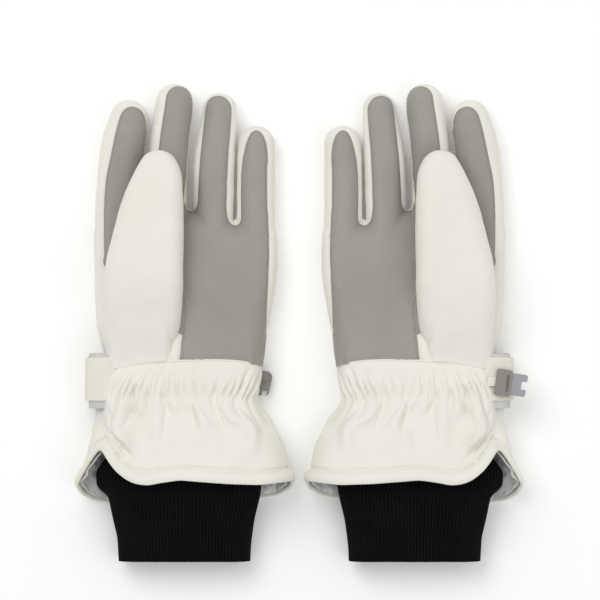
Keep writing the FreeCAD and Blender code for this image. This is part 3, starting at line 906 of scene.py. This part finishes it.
class HandForm:
    """The padded hand of the left glove as an implicit form."""

    strip_height = 7.6
    flat_side = 0.8
    crown = 1.0
    crown_reach = 9.0

    def __init__(self) -> None:
        """Lay out the discs and profiles."""
        self.discs = {finger.name: finger.discs() for finger in FINGERS}
        self.palm = np.array(PALM, float)
        self.grey = closed_curve(GREY, 4)
        self.half = Profile(
            [(-60, 15.4), (-27, 14.9), (0, 14.0), (45, 13.6), (68, 12.6), (95, 11.8), (160, 11.4)]
        )
        self.pads = Ripple(11, 16.0)
        self.fine = Ripple(12, 6.0)

    def depth(self, points: Array, only: str | None = None) -> Array:
        """Signed distance in plan to the hand, or to one finger."""
        if only:
            return disc_depth(self.discs[only], points)
        fingers = disc_depth(np.concatenate(list(self.discs.values())), points)
        return blend_min(outline_depth(self.palm, points), fingers, 3.0)

    def value(self, points: Array, only: str | None = None) -> Array:
        """The form's value: below 0 inside."""
        plan = self.depth(points, only)
        half = self.half(points[..., 1])
        corner = half - self.flat_side
        crown = self.crown * (1 - bell(np.minimum(plan, 0), self.crown_reach))
        height = points[..., 2] - half
        up = np.where(height > 0, height - crown, -height) - (half - corner)
        return rounded(plan, up, corner)

    def face(self, points: Array, only: str | None = None) -> Array:
        """Below 0 on the grey face of the palm and fingers."""
        low = self.half(points[..., 1]) * 1.12 - points[..., 2]
        return np.maximum(outline_depth(self.grey, points), low)

    @staticmethod
    def knuckle_seam(points: Array) -> Array:
        """0 along the seam across the back of the hand."""
        return points[..., 1] - 52 - 7 * np.sin((points[..., 0] + 100) / 30)

    def relief(self, points: Array, only: str | None = None) -> Array:
        """How far the padded skin stands out, with its seams drawn in."""
        x, y, z = points[..., 0], points[..., 1], points[..., 2]
        seam = self.face(points, only)
        out = -1.0 * bell(seam, 1.15) - 0.35 * bell(seam, 3.2)
        between = smoothstep(y, 64, 72) * smoothstep(x, -118, -112) * (1 - smoothstep(x, -30, -26))
        out -= 0.7 * bell(z - self.strip_height, 1.1) * between
        below = 1 - smoothstep(z, 4, 9)
        out -= 0.9 * bell(self.knuckle_seam(points), 1.6) * below
        for finger in FINGERS:
            if only in (None, finger.name):
                discs = self.discs[finger.name]
                near = 1 if only else bell(disc_depth(discs[::8], points), 30.0) > 0.9
                for place, deep in ((finger.cut + 2, 0.14), (finger.joint + 12, 0.16)):
                    bend = place + 0.0016 * (x - discs[32][0]) ** 2
                    out -= deep * bell(y - bend, 2.0) * near
        wrist = smoothstep(-y, 8, 26)
        out += 0.22 * self.pads(points) + 0.10 * self.fine(points)
        out += 0.35 * wrist * np.sin(x * 1.15 + 0.4 * self.pads(points)) * bell(y + 28, 9)
        return out

    def raise_skin(self, skin: Skin, only: str | None = None) -> Skin:
        """The skin with the relief on it, kept off the ground."""
        verts = self.raised(skin.verts, only)
        verts[:, 2] = np.maximum(verts[:, 2], SKIN_LOWEST)
        return Skin(verts, skin.tris)

    def raised(self, points: Array, only: str | None = None, lift: float = 0.0) -> Array:
        """Points on the skin moved out to the relief, and lifted."""
        away = unit(gradient(lambda p: self.value(p, only), points))
        return points + away * (self.relief(points, only) + lift)[:, None]


@dataclass
class Hand:
    """Palm, back and fingers of both gloves."""

    shop: Workshop
    form: HandForm = field(default_factory=HandForm)
    fill: float = 0.5
    finger_step: float = 1.15
    back_nodes: tuple[str, ...] = (
        "back_panel", "fourchette_index_middle", "fourchette_middle_ring",
        "fourchette_ring_little", "hand_liner", "insulation_pad",
    )

    def build(self) -> None:
        """Cut the skins once and dress both gloves with them."""
        form = self.form
        whole = polygonize(form.value, (-142, -36, -3), (-8, 112, 36), SKIN_STEP)
        keep = whole.split(self.below_cuts(whole.verts))[0]
        keep = keep.split(keep.verts[:, 1] - WRIST_SEAM(keep.verts[:, 0]))[1]
        face, back = keep.split(form.face(keep.verts))[:2]
        index, palm = face.split(self.index_field(face.verts))[:2]
        for name, skin, finish, nodes, slot in (
            ("hand_back", back, "cream", self.back_nodes, "cream_softshell"),
            ("palm_face", palm, "grey", ("palm_panel",), "grey_palm"),
            ("index_base_face", index, "grey", ("index_face",), "grey_palm"),
        ):
            raised = form.raise_skin(skin)
            for side in Side:
                piece = self.shop.skin(side, name, raised, finish, PADDED_WALL)
                hold(piece, side, nodes)
        line, edges = keep.split(form.face(keep.verts) + SEAM_MARGIN)[2:]
        line = form.raised(line, None, STITCH_LIFT)
        for side in Side:
            self.shop.sew(
                side, "palm_stitches", line, edges, "grey", "grey_palm", radius=FINE_THREAD
            )
        line, edges = back.split(form.knuckle_seam(back.verts) - 2.0)[2:]
        edges = edges[line[edges[:, 0], 2] < 6]
        line = form.raised(line, None, STITCH_LIFT)
        for side in Side:
            self.shop.sew(
                side, "knuckle_stitches", line, edges, "thread", "cream_webbing",
                radius=KNUCKLE_THREAD,
            )
        for finger in FINGERS:
            self.build_finger(finger)

    @staticmethod
    def below_cuts(points: Array) -> Array:
        """Below 0 on the wrist side of every finger's cut."""
        place = np.searchsorted(FINGER_EDGES, points[:, 0])
        return points[:, 1] - np.array([finger.cut for finger in FINGERS])[place]

    @staticmethod
    def index_field(points: Array) -> Array:
        """Below 0 on the index finger's own face panel."""
        line = points[:, 0] - (-102.9 + 0.09 * (points[:, 1] - 71))
        return np.maximum(line, 40 - points[:, 1])

    def build_finger(self, finger: Finger) -> None:
        """One finger past its cut: cream back, grey face and their stitches."""
        form, name = self.form, finger.name
        discs = form.discs[name]
        low = (discs[:, 0].min() - 20, finger.cut - 6, -3)
        high = (discs[:, 0].max() + 20, discs[-1, 1] + 17, 30)
        whole = polygonize(lambda p: form.value(p, name), low, high, self.finger_step)
        keep = whole.split(whole.verts[:, 1] - finger.cut)[1]
        face, back = keep.split(form.face(keep.verts, name))[:2]
        line, edges = keep.split(form.face(keep.verts, name) + SEAM_MARGIN)[2:]
        line = form.raised(line, name, STITCH_LIFT)
        bend = partial(self.bend, finger)
        panels = (
            ("back", form.raise_skin(back, name), "cream", "cream_softshell"),
            ("face", form.raise_skin(face, name), "grey", "grey_palm"),
        )
        for side in Side:
            for part, skin, finish, slot in panels:
                piece = self.shop.skin(side, f"{name}_finger_{part}", skin, finish, PADDED_WALL)
                hold(piece, side, (f"{name}_tip_{part}",), bend)
            self.shop.sew(
                side, f"{name}_stitches", line, edges, "grey", "grey_palm", bend,
                radius=FINE_THREAD,
            )

    @staticmethod
    def bend(finger: Finger, side: Side, piece: bpy.types.Object) -> None:
        """Bake a finger piece's placement into its mesh; the joint's ends are worked out but not
        used.
        """
        ends = [
            tuple(side.place(np.array([finger.stations[2][0], finger.joint + away, 24.0])) * MM)
            for away in (-14.0, 14.0)
        ]
        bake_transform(piece)


# ------------------------------------------------------------------ the thumb


class ThumbForm:
    """The thumb of the left glove, folded over the palm, as an implicit form."""

    stations = (
        (-106.0, -34, 21.6), (-105.6, -20, 22.2), (-104.6, -8, 23.3), (-103.1, 6, 25.5),
        (-102.3, 24, 26.0), (-101.4, 38, 25.4),
        (-99.2, 54, 23.4), (-97.0, 71, 21.0), (-94.4, 86, 17.8), (-92.6, 95, 15.4),
        (-92.2, 100.4, 12.9),
    )

    def __init__(self) -> None:
        """Lay out the discs and profiles."""
        self.discs = disc_stack(self.stations, 90)
        self.top = Profile(
            [(-40, 29.4), (-27, 30.4), (-19, 33.4), (-8, 38.4), (4, 43.6), (18, 48.6), (36, 52.2),
             (60, 53.2), (82, 52.4), (98, 50.4), (118, 47)], 5.0,
        )
        self.low = Profile([(-40, 10), (-10, 16), (10, 24), (26, 29.6), (60, 29.8), (118, 30.6)])
        self.pads = Ripple(21, 20.0)
        self.fine = Ripple(22, 7.0)

    def value(self, points: Array) -> Array:
        """The form's value: below 0 inside."""
        plan = disc_depth(self.discs, points)
        top, low = self.top(points[..., 1]), self.low(points[..., 1])
        half, middle = (top - low) / 2, (top + low) / 2
        corner = half - 0.6
        up = np.abs(points[..., 2] - middle) - (half - corner)
        return rounded(plan, up, corner)

    def face(self, points: Array) -> Array:
        """Below 0 on the grey side that meets the palm."""
        return points[..., 2] - (self.low(points[..., 1]) + 6.2)

    def relief(self, points: Array) -> Array:
        """How far the padded skin stands out."""
        x, y = points[..., 0], points[..., 1]
        out = -0.9 * bell(self.face(points), 1.2) - 0.3 * bell(self.face(points), 3.0)
        heel = smoothstep(-y, -14, 18)
        out += 0.30 * self.pads(points) + 0.12 * self.fine(points)
        out += 0.5 * heel * self.fine(points * [1.0, 0.35, 1.0])
        crease = (y + 16) * 0.42 + (x + 81.5) * 0.91
        out -= 1.1 * bell(crease, 2.2) * smoothstep(-y, 0, 8)
        return out

    def raised(self, points: Array, lift: float = 0.0) -> Array:
        """Points on the skin moved to the relief's surface."""
        away = unit(gradient(self.value, points))
        return points + away * (self.relief(points) + lift)[:, None]


@dataclass
class Thumb:
    """The thumb stall and the round patch it is set on."""

    shop: Workshop
    fill: float = 0.6
    patch_centre: tuple[float, float] = (-100.0, 8.0)
    patch_rings: tuple[tuple[float, float], ...] = (
        (13.9, 27.2), (13.9, 29.2), (17.4, 29.9), (22.4, 29.8), (26.0, 29.3), (27.8, 28.4),
        (28.0, 27.4), (26.4, 26.6),
    )
    patch_seam: tuple[float, float] = (25.6, 29.5)

    def build(self) -> None:
        """Make the thumb's two panels, their stitches and the patch for both gloves."""
        form = ThumbForm()
        whole = polygonize(form.value, (-136, -60, 6), (-70, 118, 58), SKIN_STEP)
        keep = whole.split(whole.verts[:, 1] - WRIST_SEAM(whole.verts[:, 0]) - 0.5)[1]
        face, back = keep.split(form.face(keep.verts))[:2]
        line, edges = keep.split(form.face(keep.verts) - 1.7)[2:]
        line = form.raised(line, STITCH_LIFT)
        panels = (
            ("thumb_back", back, "cream", ("thumb_shell", "thumb_liner"), "cream_softshell"),
            ("thumb_inner_face", face, "grey", ("thumb_face",), "grey_palm"),
        )
        for side in Side:
            for name, skin, finish, nodes, slot in panels:
                skin = Skin(form.raised(skin.verts), skin.tris)
                piece = self.shop.skin(side, name, skin, finish, PADDED_WALL)
                hold(piece, side, nodes, self.bend)
            self.shop.sew(
                side, "thumb_stitches", line, edges, "thread", "cream_webbing", self.bend
            )
            self.build_patch(side)

    @staticmethod
    def bend(side: Side, piece: bpy.types.Object) -> None:
        """Bake a thumb piece's placement into its mesh; the hinge's ends are worked out but not
        used.
        """
        ends = [tuple(side.place(np.array([-102.1, y, 30.0])) * MM) for y in (-24.0, 34.0)]
        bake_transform(piece)

    def build_patch(self, side: Side) -> None:
        """The round grey patch under the thumb, a soft ring with a sewn rim."""
        turns = np.linspace(0, 2 * np.pi, 160, endpoint=False)

        def ring(radius: float, height: Array) -> Array:
            """A ring of points about the patch's centre."""
            x, y = self.patch_centre
            return np.stack([x + radius * np.cos(turns), y + radius * np.sin(turns), height], -1)

        rows = []
        for radius, height in reversed(self.patch_rings):
            wobble = 0.25 * np.sin(turns * 23 + radius) * (radius > 20)
            rows.append(ring(radius, height + wobble))
        piece = self.shop.skin(side, "thumb_patch", grid_skin(np.array(rows)), "grey")
        smooth = piece.modifiers.new("smooth", "SUBSURF")
        smooth.levels = smooth.render_levels = 1
        settle(piece)
        hold(piece, side, ("thumb_gusset",))
        radius, height = self.patch_seam
        rim = ring(radius, np.full(len(turns), height))
        self.shop.sew(
            side, "patch_stitches", rim, loop_edges(len(rim)), "clip", "grey_palm",
            radius=FINE_THREAD,
        )


# ------------------------------------------------------------------ wrist and gauntlet


def capsule_ring(wide: Array, tall: Array, count: int) -> tuple[Array, Array]:
    """Evenly spaced points round flat ovals, and their outward directions.

    Args:
        wide: Half widths, one for each ring.
        tall: Half heights.
        count: Points in a ring.

    Returns:
        Offsets and directions, each with shape (rings, count, 2).
    """
    wide, tall = wide[:, None], tall[:, None]
    core = wide - tall
    quarter = tall * np.pi / 2
    total = 4 * (quarter + core)
    place = np.linspace(0, 1, count, endpoint=False)[None] * total
    ends = [
        place < quarter, place < quarter + 2 * core, place < 3 * quarter + 2 * core,
        place < 3 * quarter + 4 * core,
    ]
    angle = np.select(ends, [
        place / tall, np.pi / 2, np.pi / 2 + (place - quarter - 2 * core) / tall, 1.5 * np.pi,
    ], 1.5 * np.pi + (place - 3 * quarter - 4 * core) / tall)
    shift = np.select(ends, [
        core, core - (place - quarter), -core, -core + (place - 3 * quarter - 2 * core),
    ], core)
    way = np.stack([np.cos(angle), np.sin(angle)], -1)
    offset = np.stack([shift, np.zeros_like(shift)], -1) + way * tall[..., None]
    return offset, way


@dataclass
class Sleeve:
    """The gathered wrist, flared gauntlet, hem, lining and knitted cuff."""

    shop: Workshop
    columns: int = 620
    rows: int = 74
    outer_wall: float = 1.2
    lining_wall: float = 0.5
    knit_wall: float = 1.3
    left_edge: Profile = field(
        default_factory=lambda: Profile(
            [(-160, -147.2), (-107, -147.0), (-96.4, -143.9), (-84.2, -138.6), (-71, -134.6),
             (-60, -132.6), (-50, -132.3), (-38, -131.0), (-27, -128.2), (0, -128.2)], 3.0,
        )
    )
    right_edge: Profile = field(
        default_factory=lambda: Profile(
            [(-160, -3.6), (-107, -3.8), (-102, -4.0), (-94, -7.5), (-86, -9.6), (-78, -12.6),
             (-68, -17.6), (-60, -23.5), (-52, -29.0), (-44, -29.0), (-27, -24.0), (0, -24.0)], 2.0,
        )
    )
    height: Profile = field(
        default_factory=lambda: Profile(
            [(-160, 47), (-107, 47), (-76, 41.5), (-50, 35.5), (-38, 33.5), (-27, 29.4),
             (0, 29.4)], 4.0,
        )
    )
    front_hem: tuple[tuple[float, float], ...] = (
        (-1.0, -107.4), (-0.975, -98.0), (-0.94, -87.0), (-0.90, -82.4), (-0.84, -84.0),
        (-0.775, -89.3), (-0.643, -97.4), (-0.54, -102.4), (-0.45, -104.9), (-0.337, -105.9),
        (-0.237, -104.4), (-0.05, -102.4), (0.117, -103.4), (0.40, -104.9), (0.68, -105.5),
        (0.96, -103.6), (1.0, -103.8),
    )
    back_hem: tuple[tuple[float, float], ...] = (
        (-1.0, -107.4), (-0.97, -113.0), (-0.87, -117.6), (-0.70, -119.4), (0.0, -118.8),
        (0.70, -116.2), (0.85, -114.3), (0.94, -111.4), (0.985, -107.6), (1.0, -103.8),
    )

    # The middle of the deep fold above the raised hem.
    hem_fold: tuple[float, float] = (-118.1, -80.0)
    # Each long fold's x, middle y, slant, reach and depth.
    long_folds: tuple[tuple[float, float, float, float, float], ...] = (
        (-70.0, -59.0, -0.23, 11.0, 2.0), (-123.4, -68.0, -0.16, 11.0, 1.8),
        (-109.8, -57.0, 0.36, 9.0, 1.6), (-53.6, -60.0, -0.44, 11.0, 1.6),
        (-38.4, -55.0, -0.86, 9.0, 1.5), (-88.0, -62.0, 0.12, 12.0, 1.3),
    )

    def hem_line(self) -> Array:
        """The hem's y for each column."""
        rings, _ = capsule_ring(np.array([71.6]), np.array([23.5]), self.columns)
        across, up = rings[0, :, 0] / 71.6, rings[0, :, 1]
        front = np.interp(across, *np.array(self.front_hem).T)
        back = np.interp(across, *np.array(self.back_hem).T)
        return blur(np.where(up >= 0, front, back), 4.0, wrap=True)

    def surface(self, lines: Array, inset: float, gather: float) -> tuple[Array, Array]:
        """The sleeve's surface at given y values.

        Args:
            lines: y for each row and column.
            inset: How far inside the outer skin it lies.
            gather: The share of the gathers and folds that it takes.

        Returns:
            Points and outward directions.
        """
        middle_y = lines.mean(1)
        left, right = self.left_edge(lines), self.right_edge(lines)
        tall = self.height(lines) / 2
        row_wide = (self.right_edge(middle_y) - self.left_edge(middle_y)) / 2
        row_tall = self.height(middle_y) / 2
        base, way = capsule_ring(row_wide, row_tall, lines.shape[1])
        x = (left + right) / 2 + base[..., 0] / row_wide[:, None] * (right - left) / 2
        z = tall + base[..., 1] / row_tall[:, None] * tall
        points = np.stack([x, lines, z], -1)
        out = np.stack([way[..., 0], np.zeros_like(x), way[..., 1]], -1)
        turn = np.linspace(0, 1, lines.shape[1], endpoint=False)[None]
        folds = self.gathers(turn, points)
        relief = np.minimum(folds * gather, folds) - inset
        points = points + out * relief[..., None]
        points[..., 2] = np.maximum(points[..., 2], SKIN_LOWEST + inset)
        return points, out

    def gathers(self, turn: Array, points: Array) -> Array:
        """Fine pleats over the elastic and longer folds below them."""
        y = points[..., 1]
        drift = Ripple(31, 26.0)(points)
        swirl = Ripple(32, 13.0)(points)
        fade = Ripple(33, 16.0)(points)
        lean = 0.055 * (y + 43) * np.sin(2 * np.pi * turn * 3 + 0.6)
        pleat = 2 * np.pi * turn * 46 + 3.4 * drift + 1.5 * swirl + lean * 4
        fine = 2 * np.abs(np.sin(pleat / 2)) ** 0.8 - 1
        long = 2 * np.pi * turn * 21 + 2.6 * drift + lean * 2
        folds = 2 * np.abs(np.sin(long / 2)) ** 0.8 - 1
        wide = 2 * np.pi * turn * 10 + 1.8 * swirl + 0.02 * (y + 60)
        swells = np.cos(wide)
        pull = 1.5 * bell(y + 43.0, 6.6) * (0.95 + 0.35 * fade)
        spread = 1.5 * bell(y + 52, 14.0) * (0.85 + 0.4 * drift)
        out = fine * pull + folds * spread + 1.9 * swells * bell(y + 68, 18.0)
        out += 0.8 * folds * bell(y + 33, 6.0) + 0.55 * swirl * bell(y + 80, 26.0)
        out += 0.35 * swirl * bell(y + 30, 12.0) - 0.7 * bell(y + 49.5, 3.0)
        x, z = points[..., 0], points[..., 2]
        top = z > 20
        across, up = x - self.hem_fold[0], y - self.hem_fold[1]
        line = across * 0.73 + up * 0.68
        along = across * 0.68 - up * 0.73
        out -= 5.5 * bell(line, 2.0) * bell(along, 10.0) * top
        out += 3.2 * bell(line - 4.6, 3.2) * bell(along, 11.0) * top
        for place, mid, slant, reach, deep in self.long_folds:
            line = x - place - slant * (y - mid)
            out -= deep * bell(line, 1.7) * bell(y - mid, reach) * top
            out += 0.6 * deep * bell(line - 4.5, 3.4) * bell(y - mid, reach) * top
        out *= 0.2 + 0.8 * smoothstep(WRIST_SEAM(x) - y, 0, 6)
        clip = smoothstep(x, -39, -33) * (1 - smoothstep(z, 8, 13))
        return out * (1 - clip) - 0.8 * clip

    def build(self) -> None:
        """Make every piece of the sleeve for both gloves."""
        hem = self.hem_line()
        rings, _ = capsule_ring(np.array([52.0]), np.array([14.7]), self.columns)
        start = WRIST_SEAM(rings[0, :, 0] - 76.1) + 1.2
        shares = np.linspace(0, 1, self.rows)[:, None]
        lines = start[None] + (hem - start)[None] * shares
        outer, way = self.surface(lines, 0.0, 1.0)
        outer = outer - way * (bell(shares, 0.018)[..., None] * 1.3)
        stitch_share = np.clip((-hem - 8.2 + start) / (start - hem), 0, 1)
        past = (shares - stitch_share[None]) * (start - hem)[None]
        outer = outer - way * bell(past, 1.3)[..., None] * 1.9
        pucker = Ripple(34, 5.0, 24)(outer) * bell(past - 2.0, 5.0)
        roll = np.sqrt(np.clip(1 - ((past - 4.3) / 4.3) ** 2, 0, 1)) * 1.9
        outer = outer + way * (roll + 0.35 * pucker)[..., None]
        split = int(np.argmin(np.abs(lines.mean(1) + 49.5)))
        for side in Side:
            for name, rows, nodes in (
                ("wrist_gathers", outer[: split + 1], ("wrist_band", "wrist_elastic")),
                ("gauntlet", outer[split:], ("gauntlet_shell",)),
            ):
                piece = self.shop.skin(side, name, grid_skin(rows), "cream", self.outer_wall)
                hold(piece, side, nodes)
            self.build_hem(side, outer[-1], way[-1])
            self.build_lining(side, hem)
            self.build_knit(side)
            self.build_rows(side, outer, way, stitch_share)

    def build_rows(self, side: Side, outer: Array, way: Array, stitch_share: Array) -> None:
        """The hem's stitches and the cord in the wrist seam."""
        place = np.clip(stitch_share * (self.rows - 1), 0, self.rows - 1.001)
        row = place.astype(int)
        part = (place - row)[:, None]
        column = np.arange(self.columns)
        line = outer[row, column] * (1 - part) + outer[row + 1, column] * part
        line = line + way[row, column] * 0.1
        edges = loop_edges(self.columns)
        self.shop.sew(
            side, "hem_stitches", line, edges, "thread", "cream_webbing",
            pitch=3.2, length=2.0, radius=0.2,
        )
        self.shop.sew(
            side, "wrist_piping", outer[1] + way[1] * 0.5, edges, "cream", "cream_softshell",
            pitch=1.2, length=1.0, radius=0.75, beads=False,
        )

    def build_hem(self, side: Side, edge: Array, way: Array) -> None:
        """The rolled edge of the gauntlet."""
        turns = np.linspace(0, 2 * np.pi, 14, endpoint=False)
        down = np.array([0.0, -1.0, 0.0])
        centre = edge - way * 1.1 - down * 0.9
        points = np.stack([
            centre + way * (1.25 * np.cos(turn)) + down * (1.5 * np.sin(turn)) for turn in turns
        ]).reshape(-1, 3)
        faces = grid_faces(len(turns) + 1, self.columns) % len(points)
        piece = self.shop.skin(side, "hem_edge", Skin(points, faces), "cream")
        hold(piece, side, ("hem_roll",))

    def build_lining(self, side: Side, hem: Array) -> None:
        """The satin lining inside the gauntlet, a little crumpled."""
        start = np.full(self.columns, -58.0)
        shares = np.linspace(0, 1, 44)[:, None]
        lines = start[None] + (hem + 1.6 - start)[None] * shares
        points, way = self.surface(lines, 2.6, 0.35)
        crumple = Ripple(41, 8.0)(points) + 0.6 * Ripple(42, 4.0)(points)
        crumple = crumple + 0.35 * Ripple(43, 2.6)(points)
        points = points + way * (np.minimum(crumple, 0.9) * 1.6 - 0.7)[..., None]
        skin = grid_skin(points)
        piece = self.shop.skin(side, "gauntlet_lining_cloth", skin, "lining", self.lining_wall)
        hold(piece, side, ("gauntlet_lining",))

    def build_knit(self, side: Side) -> None:
        """The black knitted cuff: a soft tube and the ribs along it."""
        rows, count, ribs = 60, 480, 96
        y = np.linspace(-74.0, -157.6, rows)
        left = Profile(
            [(-158, -119.4), (-142, -120.2), (-128, -123.6), (-114, -126.4), (-108, -134.0),
             (-98, -134.6), (-90, -128.0), (-74, -124)], 1.6)(y)
        right = Profile(
            [(-158, -32.4), (-147, -32.3), (-131, -30.0), (-115, -25.6), (-100, -24), (-74, -26)],
            4.0)(y)
        top = Profile([(-158, 27.4), (-130, 31.5), (-112, 34.6), (-90, 35), (-74, 34.4)], 5.0)(y)
        low = Profile([(-158, 1.2), (-130, 3.0), (-112, 5.4), (-74, 5.6)], 5.0)(y)
        offset, way = capsule_ring((right - left) / 2, (top - low) / 2, count)
        x = ((left + right) / 2)[:, None] + offset[..., 0]
        z = ((top + low) / 2)[:, None] + offset[..., 1]
        points = np.stack([x, np.repeat(y[:, None], count, 1), z], -1)
        out = np.stack([way[..., 0], np.zeros_like(x), way[..., 1]], -1)
        droop = Ripple(51, 30.0)(points) * 0.7
        points = points + out * (droop - 1.2)[..., None]
        piece = self.shop.skin(side, "knit_tube", grid_skin(points), "knit", self.knit_wall)
        hold(piece, side, ("knit_cuff",))
        line = (points + out * 0.15)[:, :: count // ribs]
        line = line.transpose(1, 0, 2).reshape(-1, 3)
        edges = [(r * rows + k, r * rows + k + 1) for r in range(ribs) for k in range(rows - 1)]
        self.shop.sew(
            side, "knit_ribs", line, edges, "knit", "black_rib_knit",
            pitch=2.0, length=1.0, radius=1.0, beads=False,
        )


# ------------------------------------------------------------------ strap and clips


@dataclass(frozen=True)
class Strap:
    """A strap bent round the side of the wrist.

    Its outermost x, the z of its two arms, the y of its two edges, its thickness and
    the radius of its bends, then what it is made of and the nodes it stands for.
    """

    name: str
    finish: str
    out: float
    top: float
    low: float
    start: float
    end: float
    thick: float
    corner: float
    nodes: tuple[str, ...]
    slot: str

    def path(self) -> Array:
        """The x and z of the strap's outer face, from its upper end to its lower end."""
        middle = self.out + self.corner
        points = [(-121.5, self.top - 2.2), (-127.4, self.top)]
        for height, first in ((self.top - self.corner, 0.5), (self.low + self.corner, 1.0)):
            for angle in np.linspace(first * np.pi, (first + 0.5) * np.pi, 9):
                points.append(
                    (middle + self.corner * np.cos(angle), height + self.corner * np.sin(angle))
                )
        return np.array(points + [(-127.4, self.low), (-122.5, self.low + 2.0)])

    def skin(self) -> Skin:
        """The strap's outer face, a little rippled, with a fold and soft edges."""
        path = self.path()
        length = np.r_[0, np.cumsum(np.hypot(*np.diff(path, axis=0).T))]
        place = np.linspace(0, length[-1], 60)
        x, z = (np.interp(place, length, values) for values in path.T)
        across = np.linspace(self.start, self.end, 30)
        grid = np.zeros((len(across), len(place), 3))
        grid[..., 0], grid[..., 1], grid[..., 2] = x[None], across[:, None], z[None]
        edge = np.minimum(np.abs(across - self.start), np.abs(across - self.end))
        dip = 0.35 * bell(edge, 0.7)[:, None]
        fold = 0.6 * bell(x + 136.0, 0.9)[None] * (z > 17)[None]
        ripple = Ripple(61, 14.0)(grid) * 0.35
        grid[..., 2] += (ripple - fold - dip) * np.where(z > 17, 1, -1)[None]
        grid[..., 0] += ripple * 0.4
        return grid_skin(grid, closed=False)


STRAPS = (
    Strap("pull_loop", "webbing", -141.2, 32.4, 3.6, -22.9, -51.3, 1.5, 6.0,
          ("strap_loop",), "cream_webbing"),
    Strap("loop_backing", "backing", -138.8, 30.6, 5.4, -20.4, -56.4, 1.2, 5.0,
          (), "lining_satin"),
)


@dataclass
class Hardware:
    """The webbing pull loop, its backing, the clips and their tapes."""

    shop: Workshop
    tape_half_width: float = 3.0
    tape_wall: float = 0.9

    def build(self) -> None:
        """Make the loops for both gloves, give each glove's clip its finishes and make its tape."""
        for side in Side:
            for strap in STRAPS:
                skin = strap.skin()
                piece = self.shop.skin(side, strap.name, skin, strap.finish, strap.thick)
                hold(piece, side, strap.nodes)
        for node, finish in (
            ("left_clip_hook", "clip"), ("right_clip_body", "clip"),
            ("right_clip_plate", "plate"),
        ):
            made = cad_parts[node]
            made.data.materials.clear()
            made.data.materials.append(self.shop.finishes[finish])
        self.tape(Side.LEFT, "clip", ((-33.0, 8.4), (-20.4, 8.6)), -35.6)
        self.tape(Side.RIGHT, "webbing", ((-123.5, 33.8), (-129.6, 34.9)), -38.6)

    def tape(
        self, side: Side, finish: str, ends: Sequence[tuple[float, float]], y: float
    ) -> None:
        """The short tape that holds a clip, from one x and z to another, about y."""
        (x0, z0), (x1, z1) = ends
        along = np.linspace(0, 1, 12)
        across = np.linspace(-self.tape_half_width, self.tape_half_width, 8)
        grid = np.zeros((len(across), len(along), 3))
        grid[..., 0] = (x0 + (x1 - x0) * along)[None]
        grid[..., 1] = y - across[:, None]
        grid[..., 2] = (z0 + (z1 - z0) * along)[None]
        skin = grid_skin(grid, closed=False)
        if x1 < x0:
            skin.tris = skin.tris[:, ::-1]
        piece = self.shop.skin(side, "clip_tab", skin, finish, self.tape_wall)
        hold(piece, side, ("clip_tape",))


# ------------------------------------------------------------------ the studio


@dataclass(frozen=True)
class Studio:
    """Floor, lamps and the camera straight above the pair."""

    sensor: float = 36.0
    camera_height: float = 2.6
    in_view: float = 0.02
    view_width: float = 0.396
    view_centre: tuple[float, float] = (0.0003, 0.01485)

    def build(self) -> None:
        """Make the studio."""
        self.floor()
        self.lamps()
        self.camera()
        bpy.context.scene.view_settings.view_transform = "Standard"

    def floor(self) -> None:
        """A plain white floor that shows white to the camera and keeps the shadow."""
        bpy.ops.mesh.primitive_plane_add(size=6, location=(0, 0, -0.0002))
        floor = bpy.context.object
        floor.name = "floor"
        made = bpy.data.materials.new("floor")
        made.use_nodes = True
        Tree(made.node_tree).feed(made.node_tree.nodes["Principled BSDF"], {
            "Base Color": (1.0, 1.0, 1.0, 1),
            "Specular IOR Level": 0.0,
            "Emission Color": (1.0, 1.0, 1.0, 1),
            "Emission Strength": 0.06,
            "Roughness": 1.0,
        })
        floor.data.materials.append(made)

    def lamps(self) -> None:
        """Soft light from above and a pale room."""
        for name, place, size, power in (
            ("key", (-0.7, 0.9, 1.9), 1.3, 17.0),
            ("fill", (0.9, -0.3, 1.7), 1.6, 7.0),
        ):
            lamp = bpy.data.lights.new(name, "AREA")
            lamp.shape = "SQUARE"
            lamp.size = size
            lamp.energy = power
            holder = bpy.data.objects.new(name, lamp)
            bpy.context.scene.collection.objects.link(holder)
            holder.location = place
            holder.rotation_euler = (-Vector(place)).to_track_quat("-Z", "Y").to_euler()
        world = bpy.data.worlds.new("room")
        bpy.context.scene.world = world
        world.use_nodes = True
        tree, nodes = Tree(world.node_tree), world.node_tree.nodes
        room = tree.feed(nodes["Background"], {"Color": (1, 1, 1, 1), "Strength": 0.55})
        seen = tree.add("ShaderNodeBackground", {"Strength": 1.0})
        path = tree.add("ShaderNodeLightPath")
        mix = tree.add("ShaderNodeMixShader", {
            0: path.outputs["Is Camera Ray"], 1: room.outputs[0], 2: seen.outputs[0],
        })
        tree.feed(nodes["World Output"], {0: mix.outputs[0]})

    def camera(self) -> None:
        """A long lens straight above the pair."""
        lens = bpy.data.cameras.new("camera")
        lens.sensor_width = self.sensor
        lens.lens = self.sensor * (self.camera_height - self.in_view) / self.view_width
        holder = bpy.data.objects.new("camera", lens)
        bpy.context.scene.collection.objects.link(holder)
        holder.location = (*self.view_centre, self.camera_height)
        bpy.context.scene.camera = holder


def main() -> None:
    """Build the pair and its studio."""
    shop = Workshop().open()
    for assembly in (Hand(shop), Thumb(shop), Sleeve(shop), Hardware(shop)):
        assembly.build()
        log.info("built %s", type(assembly).__name__)
    Studio().build()


if __name__ == "__main__":
    main()
